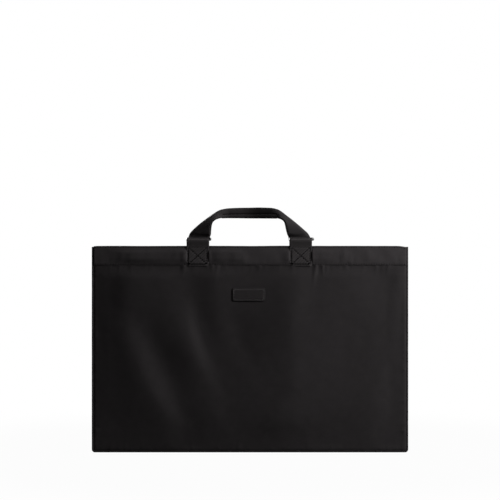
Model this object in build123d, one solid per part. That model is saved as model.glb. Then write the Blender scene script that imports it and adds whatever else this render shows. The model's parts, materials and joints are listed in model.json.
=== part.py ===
from build123d import *
import math
import os

# Soft portfolio case for loose sheets: two padded fabric walls joined by a narrow gusset, a folded hem
# round the mouth, a recessed zip between the hems, and a pair of webbing handles on wire rings.
# Millimetres.  X runs left to right, -Y is the front, +Z is up.
# The origin is at the middle of the base, on the surface that the case stands on.
# The rear wall, its rings and its handle mirror the front ones across the plane Y = 0.

# ---------------------------------------------------------------- case body
case_width = 560.0  # over the piping, left to right
case_height = 366.0  # floor to the top fold of the hem
case_depth = 32.0  # over the shell fabric of the two walls
shell_thickness = 0.7
foam_thickness = 2.0
board_thickness = 1.5
lining_thickness = 0.5
base_board_thickness = 2.0
corner_radius = 3.0  # centreline of the piping at the two lower corners

piping_diameter = 3.6
piping_lift = 0.4  # the base stands proud of the piping by this much
piping_flange_width = 7.5
piping_flange_thickness = 0.8

hem_depth = 34.0
hem_thickness = 0.7
hem_edge_radius = 1.4
gusset_inset = 0.6  # the gusset lies inside the piping by this much
gusset_top_drop = 4.0  # the side gussets end this far below the hem's top
gusset_lift = 0.1  # the foot of a side gusset clears the floor by this much

seam_gap = 0.3  # between soft pieces that are sewn edge to edge

pocket_width = 300.0
pocket_height = 210.0
pocket_top_drop = 60.0  # below the hem's top

# ---------------------------------------------------------------- label
label_width = 57.6
label_height = 23.2
label_thickness = 1.6
label_corner = 2.6
label_centre_height = 279.6
label_stitch_inset = 2.4

# ---------------------------------------------------------------- webbing, tabs, rings and handles
webbing_width = 39.2
webbing_thickness = 1.5
ring_wire = 2.2
ring_side_clearance = 0.35  # webbing edge to the ring's side bar
ring_gap = 8.0  # clear distance between the ring's two long bars
ring_corner = 2.0  # centreline
loop_clearance = 0.3  # webbing loop to wire, all round
ring_rest_tilt = 70.0  # the ring leans inward from upright

tab_spacing = 182.4  # centre to centre of the left and right tabs
tab_rise = 12.9  # hem top to the top of the tab's loop
tab_tail = 2.8  # the tab ends this far below the hem

handle_rise = 53.8  # ring bar axis to the top of the grip
handle_slope = 38.5  # outer edge of the legs, degrees above horizontal
handle_lean = 4.5  # the handle leans inward from upright, degrees
grip_height = 18.2
grip_length = 116.0
grip_thickness = 4.6
leg_width = 36.6  # the webbing narrows a little where it turns round the ring
leg_inner_top = 131.0  # between the inner edges of the legs, under the grip
leg_straight = 6.5  # the inner edge rises straight past the ring before it turns outward
leg_step = 3.0  # sideways step of the inner edge above that
leg_heel = 5.6  # height at which a leg's outer edge starts to slope
leg_heel_radius = 8.0
grip_shoulder = 30.0  # outer corner where the leg meets the grip
grip_hollow = 14.0  # inner corner under the grip

# ---------------------------------------------------------------- zip
zip_drop = 14.0  # hem top down to the zip
zip_tape_thickness = 0.6
zip_hinge_gap = 0.6  # hem to the edge of the tape
zip_end_allowance = 40.0  # side of the case to the stretch of tape that folds down
zip_end_gap = 0.3
zip_coil_gap = 1.6  # between the facing coil edges
zip_coil_width = 2.2
zip_coil_height = 2.2
zip_end_length = 22.0  # fixed tape at each end
zip_tab_thickness = 1.6

slider_length = 10.0
slider_width = 8.4
slider_plate = 1.0
slider_throat = 2.7
slider_flange_width = 0.8
slider_slot = 1.2
slider_post_width = 1.0
slider_post_length = 3.0
crown_outer_radius = 3.4
crown_inner_radius = 2.3
crown_width = 1.4
slider_stop_clearance = 0.5  # parked slider to the stops
stop_length = 2.4
stop_proud = 0.35  # a stop stands out of the coil by this much

pull_length = 25.0  # pin axis to the tip
pull_width = 5.6
pull_thickness = 1.2
pull_pin_height = 1.2  # pin axis above the slider's top plate
pull_window_length = 4.8
pull_window_width = 2.6
pull_tip_hole = 1.1  # radius

# ---------------------------------------------------------------- thread
thread_width = 0.8
thread_height = 0.3
stitch_row_inset = 1.6  # row to the nearest edge of the hem
box_stitch_margin = 3.4  # box of stitches to the tab's side edges

# ---------------------------------------------------------------- derived places
half_width = case_width / 2
half_depth = case_depth / 2
panel_edge = piping_diameter - 0.1  # outside of the piping to the edge of the wall fabric
panel_half_width = half_width - panel_edge
panel_bottom = piping_lift + panel_edge
hem_top = case_height
hem_bottom = case_height - hem_depth
panel_top = hem_top - hem_edge_radius - 0.1

shell_inner = half_depth - shell_thickness
foam_inner = shell_inner - foam_thickness
board_inner = foam_inner - board_thickness
lining_inner = board_inner - lining_thickness
hem_outer = half_depth + hem_thickness
hem_inner = lining_inner - hem_thickness

piping_radius = piping_diameter / 2
piping_x = half_width - piping_radius
piping_z = piping_lift + piping_radius
piping_y = half_depth + 0.2 - piping_radius
piping_top = hem_top - 2.0
flange_x = piping_x - piping_radius - piping_flange_width + piping_diameter / 2
flange_z = piping_z + piping_radius + piping_flange_width - piping_diameter / 2

gusset_x = half_width - gusset_inset
gusset_half_depth = piping_y - piping_radius - seam_gap / 2
gusset_top = hem_top - gusset_top_drop
gusset_corner = corner_radius + piping_radius - gusset_inset
side_lining_x = gusset_x - shell_thickness
base_lining_top = shell_thickness + base_board_thickness + lining_thickness

bar_y = hem_outer + webbing_thickness
loop_inner_radius = ring_wire / 2 + loop_clearance
loop_outer_radius = loop_inner_radius + webbing_thickness
bar_z = hem_top + tab_rise - loop_outer_radius
bar_distance = ring_gap + ring_wire
tab_bottom = hem_bottom - tab_tail
tab_face = hem_outer + 2 * webbing_thickness
ring_inner_width = webbing_width + 2 * ring_side_clearance
tilt = math.radians(ring_rest_tilt)
upper_bar_y = bar_y - bar_distance * math.sin(tilt)
upper_bar_z = bar_z + bar_distance * math.cos(tilt)

zip_z = hem_top - zip_drop
zip_moving_length = case_width - 2 * zip_end_allowance
zip_edge = hem_inner - zip_hinge_gap
coil_inner = zip_coil_gap / 2
coil_outer = coil_inner + zip_coil_width
slider_park = zip_moving_length / 2 + zip_end_gap + slider_length / 2 + 1.0
slider_travel = 2 * slider_park
stop_start = slider_park + slider_length / 2 + slider_stop_clearance
zip_end_start = zip_moving_length / 2 + zip_end_gap
zip_end_stop = zip_end_start + zip_end_length
slider_top = zip_z + slider_throat / 2 + slider_plate
pull_axis_z = slider_top + pull_pin_height


# ---------------------------------------------------------------- helpers
def block(x0, x1, y0, y1, z0, z1):
    """A box between two corners."""
    return Pos((x0 + x1) / 2, (y0 + y1) / 2, (z0 + z1) / 2) * Box(x1 - x0, y1 - y0, z1 - z0)


def front_plate(half_x, z0, z1, outer, inner, radius=0.0):
    """A flat layer of the front wall, between two depths, with rounded lower corners."""
    solid = block(-half_x, half_x, -outer, -inner, z0, z1)
    if radius > 0:
        lower = solid.edges().filter_by(Axis.Y).sort_by(Axis.Z)[:2]
        solid = fillet(lower, radius)
    return solid


def to_rear(shape):
    """The rear piece that mirrors a front one."""
    return mirror(shape, about=Plane.XZ)


def along_x(sketch, length, centre=0.0):
    """A YZ outline given a length along X."""
    return Pos(centre, 0, 0) * extrude(Plane.YZ * sketch, amount=length / 2, both=True)


def ribbon(x0, z0, x1, z1, face):
    """A line of thread lying on a vertical face whose depth is -face."""
    length = math.hypot(x1 - x0, z1 - z0)
    angle = math.degrees(math.atan2(z1 - z0, x1 - x0))
    bar = Box(length + thread_width, thread_height, thread_width)
    middle = Pos((x0 + x1) / 2, -face - thread_height / 2, (z0 + z1) / 2)
    return middle * Rot(0, -angle, 0) * bar


# ---------------------------------------------------------------- walls and gusset
def front_wall_layers():
    """Shell, foam, board and lining, from outside to inside."""
    lining_half = side_lining_x - lining_thickness - seam_gap
    return {
        "panel": front_plate(
            panel_half_width, panel_bottom, panel_top, half_depth, shell_inner, corner_radius - 1
        ),
        "foam": front_plate(
            flange_x - seam_gap, flange_z + seam_gap, panel_top, shell_inner, foam_inner
        ),
        "board": front_plate(
            panel_half_width - 2, base_lining_top + 1, panel_top, foam_inner, board_inner, 2.0
        ),
        "lining": front_plate(
            lining_half, base_lining_top + 0.2, panel_top, board_inner, lining_inner
        ),
    }


def front_piping():
    """Round cord in a fabric sleeve, whose flat flange is sewn inside the wall's edge."""
    path = Plane.XZ * FilletPolyline(
        (-piping_x, piping_top),
        (-piping_x, piping_z),
        (piping_x, piping_z),
        (piping_x, piping_top),
        radius=corner_radius,
    )
    path = Pos(0, -piping_y, 0) * path
    section = Plane(origin=path @ 0, z_dir=path % 0) * Circle(piping_radius)
    tube = sweep(section, path=path)
    outer = block(
        -piping_x, piping_x, -shell_inner, -shell_inner + piping_flange_thickness, piping_z, piping_top
    )
    outer = fillet(outer.edges().filter_by(Axis.Y).sort_by(Axis.Z)[:2], corner_radius)
    window = block(
        -flange_x, flange_x, -half_depth, 0, flange_z, hem_top + 1
    )
    return tube + (outer - window)


def base_gusset():
    """Flat strip that the case stands on."""
    half = gusset_x - gusset_corner
    return block(-half, half, -gusset_half_depth, gusset_half_depth, 0, shell_thickness)


def side_gusset(end):
    """Upright strip at the left (-1) or right (+1) end, whose foot turns in round the lower corner."""
    size = 2 * gusset_corner
    turn = Pos(gusset_x - gusset_corner, gusset_corner) * Rectangle(size, size)
    turn = fillet(turn.vertices(), gusset_corner - 0.01)
    inner = Pos(gusset_x - gusset_corner, gusset_corner) * Rectangle(
        size - 2 * shell_thickness, size - 2 * shell_thickness
    )
    turn -= fillet(inner.vertices(), gusset_corner - shell_thickness - 0.01)
    keep = Pos(gusset_x - gusset_corner / 2 + 0.5, gusset_corner / 2) * Rectangle(
        gusset_corner + 1, gusset_corner
    )
    wall = Pos(gusset_x - shell_thickness / 2, (gusset_corner + gusset_top) / 2) * Rectangle(
        shell_thickness, gusset_top - gusset_corner
    )
    section = Pos(0, gusset_lift) * (turn & keep) + wall
    strip = extrude(Plane.XZ * section, amount=gusset_half_depth, both=True)
    return strip if end > 0 else mirror(strip, about=Plane.YZ)


def side_lining(end):
    """Inner face of an end, inside the side gusset."""
    near, far = sorted((end * side_lining_x, end * (side_lining_x - lining_thickness)))
    depth = lining_inner - 0.1
    return block(near, far, -depth, depth, gusset_corner + seam_gap / 2, gusset_top - 1)


def base_board():
    """Stiff strip that keeps the base flat."""
    half = gusset_x - gusset_corner - 2
    depth = lining_inner - 0.3
    return block(-half, half, -depth, depth, shell_thickness, shell_thickness + base_board_thickness)


def base_lining():
    """Fabric floor over the base board."""
    half = gusset_x - gusset_corner
    depth = lining_inner + 0.4
    return block(-half, half, -depth, depth, base_lining_top - lining_thickness, base_lining_top)


def front_hem_band():
    """Fabric folded over the wall's top edge, one leg outside and one inside."""
    middle = (hem_outer + hem_inner) / 2
    span = hem_outer - hem_inner
    outer = Pos(-middle, hem_top - hem_depth / 2) * Rectangle(span, hem_depth)
    outer = fillet(outer.vertices().sort_by(Axis.Y)[-2:], hem_edge_radius)
    hollow_width = span - 2 * hem_thickness
    hollow = Pos(-middle, hem_top - hem_thickness - hem_depth / 2) * Rectangle(hollow_width, hem_depth)
    hollow = fillet(hollow.vertices().sort_by(Axis.Y)[-2:], hem_edge_radius - hem_thickness)
    return along_x(outer - hollow, 2 * panel_half_width)


def inner_pocket():
    """Slip pocket for notes, sewn flat to the rear lining, with a bound top edge."""
    top = hem_top - pocket_top_drop
    half = pocket_width / 2
    sheet = block(
        -half, half, lining_inner - lining_thickness, lining_inner, top - pocket_height, top
    )
    binding = block(-half, half, lining_inner - 2 * lining_thickness, lining_inner, top - 12, top)
    return sheet + binding


# ---------------------------------------------------------------- label and thread
def label_patch():
    """Blank leather patch sewn on the front wall."""
    outline = RectangleRounded(label_width, label_height, label_corner)
    patch = extrude(Plane.XZ * outline, amount=label_thickness)
    return Pos(0, -half_depth, label_centre_height) * patch


def label_stitching():
    """Row of thread round the label, just inside its edge."""
    width = label_width - 2 * label_stitch_inset
    height = label_height - 2 * label_stitch_inset
    radius = label_corner - 0.8
    row = RectangleRounded(width, height, radius)
    row -= RectangleRounded(width - 2 * thread_width, height - 2 * thread_width, radius - 0.7)
    thread = extrude(Plane.XZ * row, amount=thread_height)
    return Pos(0, -half_depth - label_thickness, label_centre_height) * thread


def front_hem_stitching():
    """Two rows along the hem, broken where the tabs cover them."""
    tab_x = tab_spacing / 2
    half_tab = webbing_width / 2 + thread_width
    end = panel_half_width - thread_width
    spans = [(-end, -tab_x - half_tab), (-tab_x + half_tab, tab_x - half_tab), (tab_x + half_tab, end)]
    heights = [hem_top - hem_edge_radius - stitch_row_inset, hem_bottom + stitch_row_inset]
    return [ribbon(x0, z, x1, z, hem_outer) for z in heights for x0, x1 in spans]


def front_tab_stitching():
    """A box of stitches with a cross in it, on each tab."""
    groups = []
    for end in (-1, 1):
        centre = end * tab_spacing / 2
        x0 = centre - webbing_width / 2 + box_stitch_margin
        x1 = centre + webbing_width / 2 - box_stitch_margin
        z0 = hem_bottom + stitch_row_inset
        z1 = hem_top - hem_edge_radius - stitch_row_inset
        lines = [(x0, z0, x1, z0), (x1, z0, x1, z1), (x1, z1, x0, z1), (x0, z1, x0, z0)]
        lines += [(x0, z0, x1, z1), (x0, z1, x1, z0)]
        thread = ribbon(*lines[0], tab_face)
        for line in lines[1:]:
            thread += ribbon(*line, tab_face)
        groups.append(thread)
    return groups


# ---------------------------------------------------------------- tabs, rings and handles
def front_tab(end):
    """Webbing folded over the ring's lower bar, both layers sewn down on the hem."""
    neck_bottom = hem_top + 0.5
    strip = Pos(-bar_y, (tab_bottom + bar_z) / 2) * Rectangle(2 * webbing_thickness, bar_z - tab_bottom)
    neck = make_face(
        Polyline(
            (-bar_y - webbing_thickness, neck_bottom),
            (-bar_y + webbing_thickness, neck_bottom),
            (-bar_y + loop_outer_radius, bar_z),
            (-bar_y - loop_outer_radius, bar_z),
            close=True,
        )
    )
    loop = Pos(-bar_y, bar_z) * Circle(loop_outer_radius)
    bore = Pos(-bar_y, bar_z) * Circle(loop_inner_radius)
    return along_x(strip + neck + loop - bore, webbing_width, end * tab_spacing / 2)


def upright_ring():
    """Rectangular wire ring standing on its lower bar, whose axis is at the origin."""
    width = ring_inner_width + ring_wire
    outline = RectangleRounded(width, bar_distance, ring_corner).wire()
    path = Plane.XZ * (Pos(0, bar_distance / 2) * outline)
    section = Plane(origin=path @ 0, z_dir=path % 0) * Circle(ring_wire / 2)
    return sweep(section, path=path)


def front_ring(end):
    """A ring in its place, leaning inward."""
    return Pos(end * tab_spacing / 2, -bar_y, bar_z) * Rot(-ring_rest_tilt, 0, 0) * upright_ring()


def round_at(face, height, radius):
    """Round the outline's corners that lie at one height."""
    return fillet([v for v in face.vertices() if abs(v.Y - height) < 0.01], radius)


def handle_outline():
    """Arch seen from the front: two flared legs and a level grip.  The ring bars lie on local Y = 0."""
    leg_inner = tab_spacing / 2 - webbing_width / 2
    leg_outer = leg_inner + leg_width
    hollow_x = leg_inner_top / 2
    grip_bottom = handle_rise - grip_height
    shoulder_x = leg_outer - (handle_rise - leg_heel) / math.tan(math.radians(handle_slope))
    arch = make_face(
        Polyline(
            (leg_inner, 0),
            (leg_outer, 0),
            (leg_outer, leg_heel),
            (shoulder_x, handle_rise),
            (-shoulder_x, handle_rise),
            (-leg_outer, leg_heel),
            (-leg_outer, 0),
            (-leg_inner, 0),
            (-leg_inner, leg_straight),
            (-leg_inner + leg_step, leg_straight + 2 * leg_step),
            (-hollow_x, grip_bottom),
            (hollow_x, grip_bottom),
            (leg_inner - leg_step, leg_straight + 2 * leg_step),
            (leg_inner, leg_straight),
            close=True,
        )
    )
    arch = round_at(arch, handle_rise, grip_shoulder)
    arch = round_at(arch, grip_bottom, grip_hollow)
    return round_at(arch, leg_heel, leg_heel_radius)


def front_handle():
    """One strip of webbing, looped round both rings and folded in half along the grip."""
    legs = extrude(Plane.XZ * handle_outline(), amount=webbing_thickness, both=True)
    grip = Box(grip_length, grip_thickness, grip_height)
    grip = fillet(grip.edges().filter_by(Axis.X), grip_thickness * 0.4)
    shape = legs + Pos(0, 0, handle_rise - grip_height / 2) * grip
    leg_centre = tab_spacing / 2 - (webbing_width - leg_width) / 2
    for end in (-1, 1):
        shape += along_x(Circle(loop_outer_radius), leg_width, end * leg_centre)
    for end in (-1, 1):
        shape -= along_x(Circle(loop_inner_radius), leg_width + 2, end * leg_centre)
    return Pos(0, -upper_bar_y, upper_bar_z) * Rot(-handle_lean, 0, 0) * shape


# ---------------------------------------------------------------- zip
def tape_and_coil(x0, x1, edge):
    """The front half of the zip between two places: its tape, out to an edge, and its coil."""
    half_tape = zip_tape_thickness / 2
    half_coil = zip_coil_height / 2
    tape = block(x0, x1, -edge, -coil_outer, zip_z - half_tape, zip_z + half_tape)
    coil = block(x0, x1, -coil_outer, -coil_inner, zip_z - half_coil, zip_z + half_coil)
    coil = fillet(coil.edges().filter_by(Axis.X), zip_coil_height * 0.3)
    return tape, coil


def zip_tape_ends():
    """The fixed ends of both halves, two at the left and two at the right."""
    ends = []
    for end in (-1, 1):
        x0, x1 = sorted((end * zip_end_start, end * zip_end_stop))
        tape, coil = tape_and_coil(x0, x1, hem_inner)
        ends += [tape + coil, to_rear(tape + coil)]
    return ends


def zip_end_tab(end):
    """Folded fabric that closes the end of the zip and is caught in the side seam."""
    half = zip_tab_thickness / 2
    x0, x1 = sorted((end * (zip_end_stop + 0.1), end * (side_lining_x - lining_thickness - 0.1)))
    return block(x0, x1, -hem_inner, hem_inner, zip_z - half, zip_z + half)


def zip_stops():
    """Metal stops clamped over the coil, one on each half at each end."""
    stops = []
    height = zip_coil_height / 2 + stop_proud
    for end in (-1, 1):
        x0, x1 = sorted((end * stop_start, end * (stop_start + stop_length)))
        clamp = block(x0, x1, -coil_outer, -coil_inner + 0.2, -height, height)
        clamp = Pos(0, 0, zip_z) * fillet(clamp.edges().filter_by(Axis.X), 0.5)
        tape, coil = tape_and_coil(x0 - 1, x1 + 1, hem_inner)
        clamp -= tape + coil
        stops += [clamp, to_rear(clamp)]
    return stops


def slider_at_park():
    """Slider body: two plates joined by a post, side flanges, and a crown for the pull."""
    throat = slider_throat / 2
    half_length = slider_length / 2
    half_slot = slider_slot / 2
    outline = RectangleRounded(slider_length, slider_width, 2.2)
    body = Pos(0, 0, throat) * extrude(outline, amount=slider_plate)
    body += Pos(0, 0, -throat - slider_plate) * extrude(outline, amount=slider_plate)
    post_start = half_length - slider_post_length
    half_post = slider_post_width / 2
    body += block(post_start, half_length - 0.4, -half_post, half_post, -throat - 0.1, throat + 0.1)
    edge = slider_width / 2
    for side in (-1, 1):
        y0, y1 = sorted((side * edge, side * (edge - slider_flange_width)))
        rail = half_length - 2.2
        body += block(-rail, rail, y0, y1, half_slot, throat + 0.1)
        body += block(-rail, rail, y0, y1, -throat - 0.1, -half_slot)
    arch = Circle(crown_outer_radius) - Circle(crown_inner_radius)
    arch &= Pos(0, crown_outer_radius) * Rectangle(4 * crown_outer_radius, 2 * crown_outer_radius)
    crown = extrude(Plane.XZ * arch, amount=crown_width / 2, both=True)
    body += Pos(0, 0, throat + slider_plate - 0.05) * crown
    return Pos(slider_park, 0, zip_z) * body


def pull_at_park():
    """Pull tab lying back over the zip: a fork whose pin turns under the slider's crown."""
    tip_width = pull_width * 0.8
    outline = make_face(
        Polyline(
            (0, pull_width / 2),
            (0, -pull_width / 2),
            (-pull_length, -tip_width / 2),
            (-pull_length, tip_width / 2),
            close=True,
        )
    )
    outline = fillet(outline.vertices().sort_by(Axis.X)[:2], tip_width * 0.4)
    window = Pos(-pull_window_length / 2, 0) * Rectangle(pull_window_length, pull_window_width)
    tip = Pos(-pull_length + tip_width * 0.6, 0) * Circle(pull_tip_hole)
    half = pull_thickness / 2
    plate = extrude(outline - window - tip, amount=half, both=True)
    pin = extrude(Plane.XZ * Circle(half), amount=pull_width / 2, both=True)
    return Pos(slider_park, 0, pull_axis_z) * (plate + pin)


# ---------------------------------------------------------------- assembly
def build():
    """Every node of the case by name, each one solid or a list of separate solids."""
    nodes = {}
    for layer, shape in front_wall_layers().items():
        nodes["front_" + layer] = shape
        nodes["rear_" + layer] = to_rear(shape)
    for name, shape in {"piping": front_piping(), "hem_band": front_hem_band()}.items():
        nodes["front_" + name] = shape
        nodes["rear_" + name] = to_rear(shape)
    for end, word in ((-1, "left"), (1, "right")):
        nodes[word + "_side_gusset"] = side_gusset(end)
        nodes[word + "_side_lining"] = side_lining(end)
        nodes["front_" + word + "_tab"] = front_tab(end)
        nodes["rear_" + word + "_tab"] = to_rear(front_tab(end))
        nodes["front_" + word + "_ring"] = front_ring(end)
        nodes["rear_" + word + "_ring"] = to_rear(front_ring(end))
    nodes["base_gusset"] = base_gusset()
    nodes["base_board"] = base_board()
    nodes["base_lining"] = base_lining()
    nodes["inner_pocket"] = inner_pocket()
    nodes["label_patch"] = label_patch()
    nodes["label_stitching"] = label_stitching()
    for name, shapes in {"hem_stitching": front_hem_stitching(), "tab_stitching": front_tab_stitching()}.items():
        nodes["front_" + name] = shapes
        nodes["rear_" + name] = [to_rear(s) for s in shapes]
    nodes["front_handle"] = front_handle()
    nodes["rear_handle"] = to_rear(front_handle())
    tape, coil = tape_and_coil(-zip_moving_length / 2, zip_moving_length / 2, zip_edge)
    nodes["front_zip_tape"] = tape
    nodes["front_zip_coil"] = coil
    nodes["rear_zip_tape"] = to_rear(tape)
    nodes["rear_zip_coil"] = to_rear(coil)
    nodes["zip_tape_ends"] = zip_tape_ends()
    nodes["zip_end_tabs"] = [zip_end_tab(-1), zip_end_tab(1)]
    nodes["zip_stops"] = zip_stops()
    nodes["zip_slider"] = slider_at_park()
    nodes["zip_pull"] = pull_at_park()
    return nodes


def write(nodes):
    """One STEP file for each node."""
    os.makedirs("parts", exist_ok=True)
    for name, shape in nodes.items():
        whole = Compound(children=list(shape)) if isinstance(shape, list) else shape
        export_step(whole, "parts/" + name + ".step")


write(build())
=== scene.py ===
import json
import math

import bpy
import numpy as np
from bpy.props import FloatProperty, FloatVectorProperty, PointerProperty
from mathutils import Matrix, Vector


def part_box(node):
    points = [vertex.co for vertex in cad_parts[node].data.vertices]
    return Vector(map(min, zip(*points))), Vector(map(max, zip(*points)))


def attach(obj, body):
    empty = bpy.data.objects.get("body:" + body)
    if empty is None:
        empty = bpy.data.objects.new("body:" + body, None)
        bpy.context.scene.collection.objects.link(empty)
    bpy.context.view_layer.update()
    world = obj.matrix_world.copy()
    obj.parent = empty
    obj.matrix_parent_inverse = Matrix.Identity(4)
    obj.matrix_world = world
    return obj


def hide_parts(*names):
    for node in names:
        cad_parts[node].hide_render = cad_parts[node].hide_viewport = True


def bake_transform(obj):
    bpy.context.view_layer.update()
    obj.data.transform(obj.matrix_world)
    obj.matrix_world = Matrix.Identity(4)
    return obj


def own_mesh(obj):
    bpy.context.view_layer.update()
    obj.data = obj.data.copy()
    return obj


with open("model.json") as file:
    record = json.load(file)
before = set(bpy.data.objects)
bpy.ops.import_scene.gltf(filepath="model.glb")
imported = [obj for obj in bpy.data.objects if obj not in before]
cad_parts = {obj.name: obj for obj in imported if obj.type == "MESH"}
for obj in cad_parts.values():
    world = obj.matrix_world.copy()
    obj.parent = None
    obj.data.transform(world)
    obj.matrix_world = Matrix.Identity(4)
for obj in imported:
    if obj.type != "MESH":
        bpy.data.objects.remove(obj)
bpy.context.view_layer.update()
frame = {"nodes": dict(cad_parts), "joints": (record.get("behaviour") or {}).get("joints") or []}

bl_info = {
    "name": "Portfolio Case",
    "version": (1, 0, 0),
    "blender": (4, 5, 0),
    "location": "View3D > Sidebar > Portfolio Case",
    "description": "Dresses a soft portfolio case: walls, hem, webbing handles, rings, label and zip",
    "category": "Object",
}

MM = 0.001


# ------------------------------------------------------------------ places taken from the frame
def low(node, axis):
    """Lowest place of a CAD node along an axis (0, 1 or 2), in millimetres."""
    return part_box(node)[0][axis] / MM


def high(node, axis):
    """Highest place of a CAD node along an axis, in millimetres."""
    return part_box(node)[1][axis] / MM


def corners(node):
    """Lowest and highest corner of a CAD node, in millimetres."""
    lo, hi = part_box(node)
    return [c / MM for c in lo], [c / MM for c in hi]


def joint(name):
    """A joint of the frame by name."""
    return next(j for j in frame["joints"] if j["name"] == name)


WALL_SIDE = high("front_panel", 0)
WALL_FOOT = low("front_panel", 2)
WALL_FACE = -low("front_panel", 1)
HEM_TOP = high("front_hem_band", 2)
HEM_FOOT = low("front_hem_band", 2)
HEM_FACE = -low("front_hem_band", 1)
HEM_BACK = -high("front_hem_band", 1)
TAB_FOOT = low("front_left_tab", 2)
TAB_WIDTH = high("front_right_tab", 0) - low("front_right_tab", 0)
TAB_X = (high("front_right_tab", 0) + low("front_right_tab", 0)) / 2
RING_BAR = [c / MM for c in joint("front_rings_tilt")["pos_m"]]
HANDLE_BAR = [c / MM for c in joint("front_handle_swing")["pos_m"]]
ZIP_HINGE = [c / MM for c in joint("front_zip_fold")["pos_m"]]
# Heights of the two rows of stitches along a hem.
HEM_ROWS = (HEM_FOOT + 1.6, HEM_TOP - 3.0)
# Thickness of the shell cloth and of the tabs' webbing.
CLOTH = 0.7
STRAP = 1.25
# Radius of the finished piping, and of the hole that webbing leaves for a ring's bar.
PIPING = 1.8
BAR_HOLE = 1.4
# How far the stitches press a tab into the hem.
TAB_SINK = 0.9
# The straps and the label are sewn a little left of the middle.
SEWN_OFF = -1.3
LABEL_OFF = -2.1


# ------------------------------------------------------------------ sizes and colours to change
class CaseCloth(bpy.types.PropertyGroup):
    """Fabric of the walls, hem, gusset and lining."""

    colour: FloatVectorProperty(
        name="Shell colour",
        description="Colour of the woven shell fabric",
        subtype="COLOR",
        size=3,
        min=0,
        max=1,
        default=(0.0185, 0.0168, 0.0174),
    )
    lining: FloatVectorProperty(
        name="Lining colour",
        description="Colour of the smooth lining cloth",
        subtype="COLOR",
        size=3,
        min=0,
        max=1,
        default=(0.020, 0.020, 0.022),
    )
    # Near black, darker than the shell: partly the thread's own colour and partly painted shade, as the dark
    # beads of thread also paint the shade in stitch grooves and needle holes.
    thread: FloatVectorProperty(
        name="Thread colour",
        description="Colour of the sewing thread",
        subtype="COLOR",
        size=3,
        min=0,
        max=1,
        default=(0.0016, 0.0015, 0.0015),
    )
    fold_height: FloatProperty(
        name="Fold height",
        description="Height of the long folds, as a share of their natural height",
        default=1.0,
        min=0,
        max=2,
        subtype="FACTOR",
    )
    pucker_height: FloatProperty(
        name="Pucker height",
        description="Height of the small gathers along the seams",
        default=0.0007,
        min=0,
        unit="LENGTH",
    )
    belly: FloatProperty(
        name="Belly",
        description="How far the padded wall swells out at its middle",
        default=0.0023,
        min=0,
        unit="LENGTH",
    )
    stitch: FloatProperty(
        name="Stitch length",
        description="Length of one stitch with its gap",
        default=0.0045,
        min=0.001,
        unit="LENGTH",
    )


class CaseWebbing(bpy.types.PropertyGroup):
    """Webbing of the tabs and handles."""

    colour: FloatVectorProperty(
        name="Webbing colour",
        description="Colour of the ribbed webbing",
        subtype="COLOR",
        size=3,
        min=0,
        max=1,
        default=(0.0290, 0.0265, 0.0272),
    )
    rib: FloatProperty(
        name="Rib pitch",
        description="Distance between two ribs of the webbing",
        default=0.0037,
        min=0.0005,
        unit="LENGTH",
    )


class CaseStudio(bpy.types.PropertyGroup):
    """Camera, lamps and floor."""

    distance: FloatProperty(
        name="Camera distance",
        description="Distance from the camera to the front of the hem",
        default=3.0,
        min=0.5,
        unit="LENGTH",
    )
    width: FloatProperty(
        name="View width",
        description="Width that the picture shows at the front of the hem",
        default=0.8840,
        min=0.1,
        unit="LENGTH",
    )
    eye: FloatProperty(
        name="Camera height",
        description="Height of the camera above the floor",
        default=0.3584,
        min=0,
        unit="LENGTH",
    )
    key: FloatProperty(
        name="Key lamp", description="Power of the large lamp", default=29.5, min=0, unit="POWER"
    )


# ------------------------------------------------------------------ small mathematics
def ease(t):
    """Smooth step from 0 to 1."""
    t = np.clip(t, 0, 1)
    return t * t * (3 - 2 * t)


def noise(x, z, cell, seed):
    """Soft random relief from -1 to 1 over a plane, with humps about one cell wide."""
    table = np.random.default_rng(seed).uniform(-1, 1, (64, 64))
    u, v = np.asarray(x) / cell + 500, np.asarray(z) / cell + 500
    i, j = np.floor(u).astype(int), np.floor(v).astype(int)
    a, b = ease(u - i), ease(v - j)
    pick = lambda p, q: table[p % 64, q % 64]
    top = pick(i, j) * (1 - a) + pick(i + 1, j) * a
    foot = pick(i, j + 1) * (1 - a) + pick(i + 1, j + 1) * a
    return top * (1 - b) + foot * b


def through(points, count):
    """Smooth curve through the points, as count evenly numbered points (Catmull-Rom)."""
    p = np.asarray(points, float)
    p = np.vstack([2 * p[0] - p[1], p, 2 * p[-1] - p[-2]])
    t = np.linspace(0, len(p) - 3, count)
    i = np.minimum(t.astype(int), len(p) - 4)
    f = (t - i)[:, None]
    a, b, c, d = p[i], p[i + 1], p[i + 2], p[i + 3]
    return 0.5 * (
        2 * b + (c - a) * f + (2 * a - 5 * b + 4 * c - d) * f**2 + (3 * b - a - 3 * c + d) * f**3
    )


def along(points, step):
    """Points at an even step along a polyline."""
    p = np.asarray(points, float)
    far = np.r_[0, np.cumsum(np.linalg.norm(np.diff(p, axis=0), axis=1))]
    at = np.linspace(0, far[-1], max(2, int(round(far[-1] / step)) + 1))
    return np.stack([np.interp(at, far, p[:, k]) for k in range(p.shape[1])], 1)


# ------------------------------------------------------------------ meshes
def lattice(rows, columns, wrap_rows=False, wrap_columns=False):
    """Quads over a grid of numbered points."""
    r = np.arange(rows if wrap_rows else rows - 1)
    c = np.arange(columns if wrap_columns else columns - 1)
    r, c = (m.ravel() for m in np.meshgrid(r, c, indexing="ij"))
    r1, c1 = (r + 1) % rows, (c + 1) % columns
    return np.stack([r * columns + c, r * columns + c1, r1 * columns + c1, r1 * columns + c], 1)


def closed_tube(rows, columns, inward=False):
    """Faces of a tube of rings with both ends capped."""
    faces = lattice(rows, columns, wrap_columns=True)[:, ::-1].tolist()
    faces += [list(range(columns)), list(range(rows * columns - 1, (rows - 1) * columns - 1, -1))]
    return [f[::-1] for f in faces] if inward else faces


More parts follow.
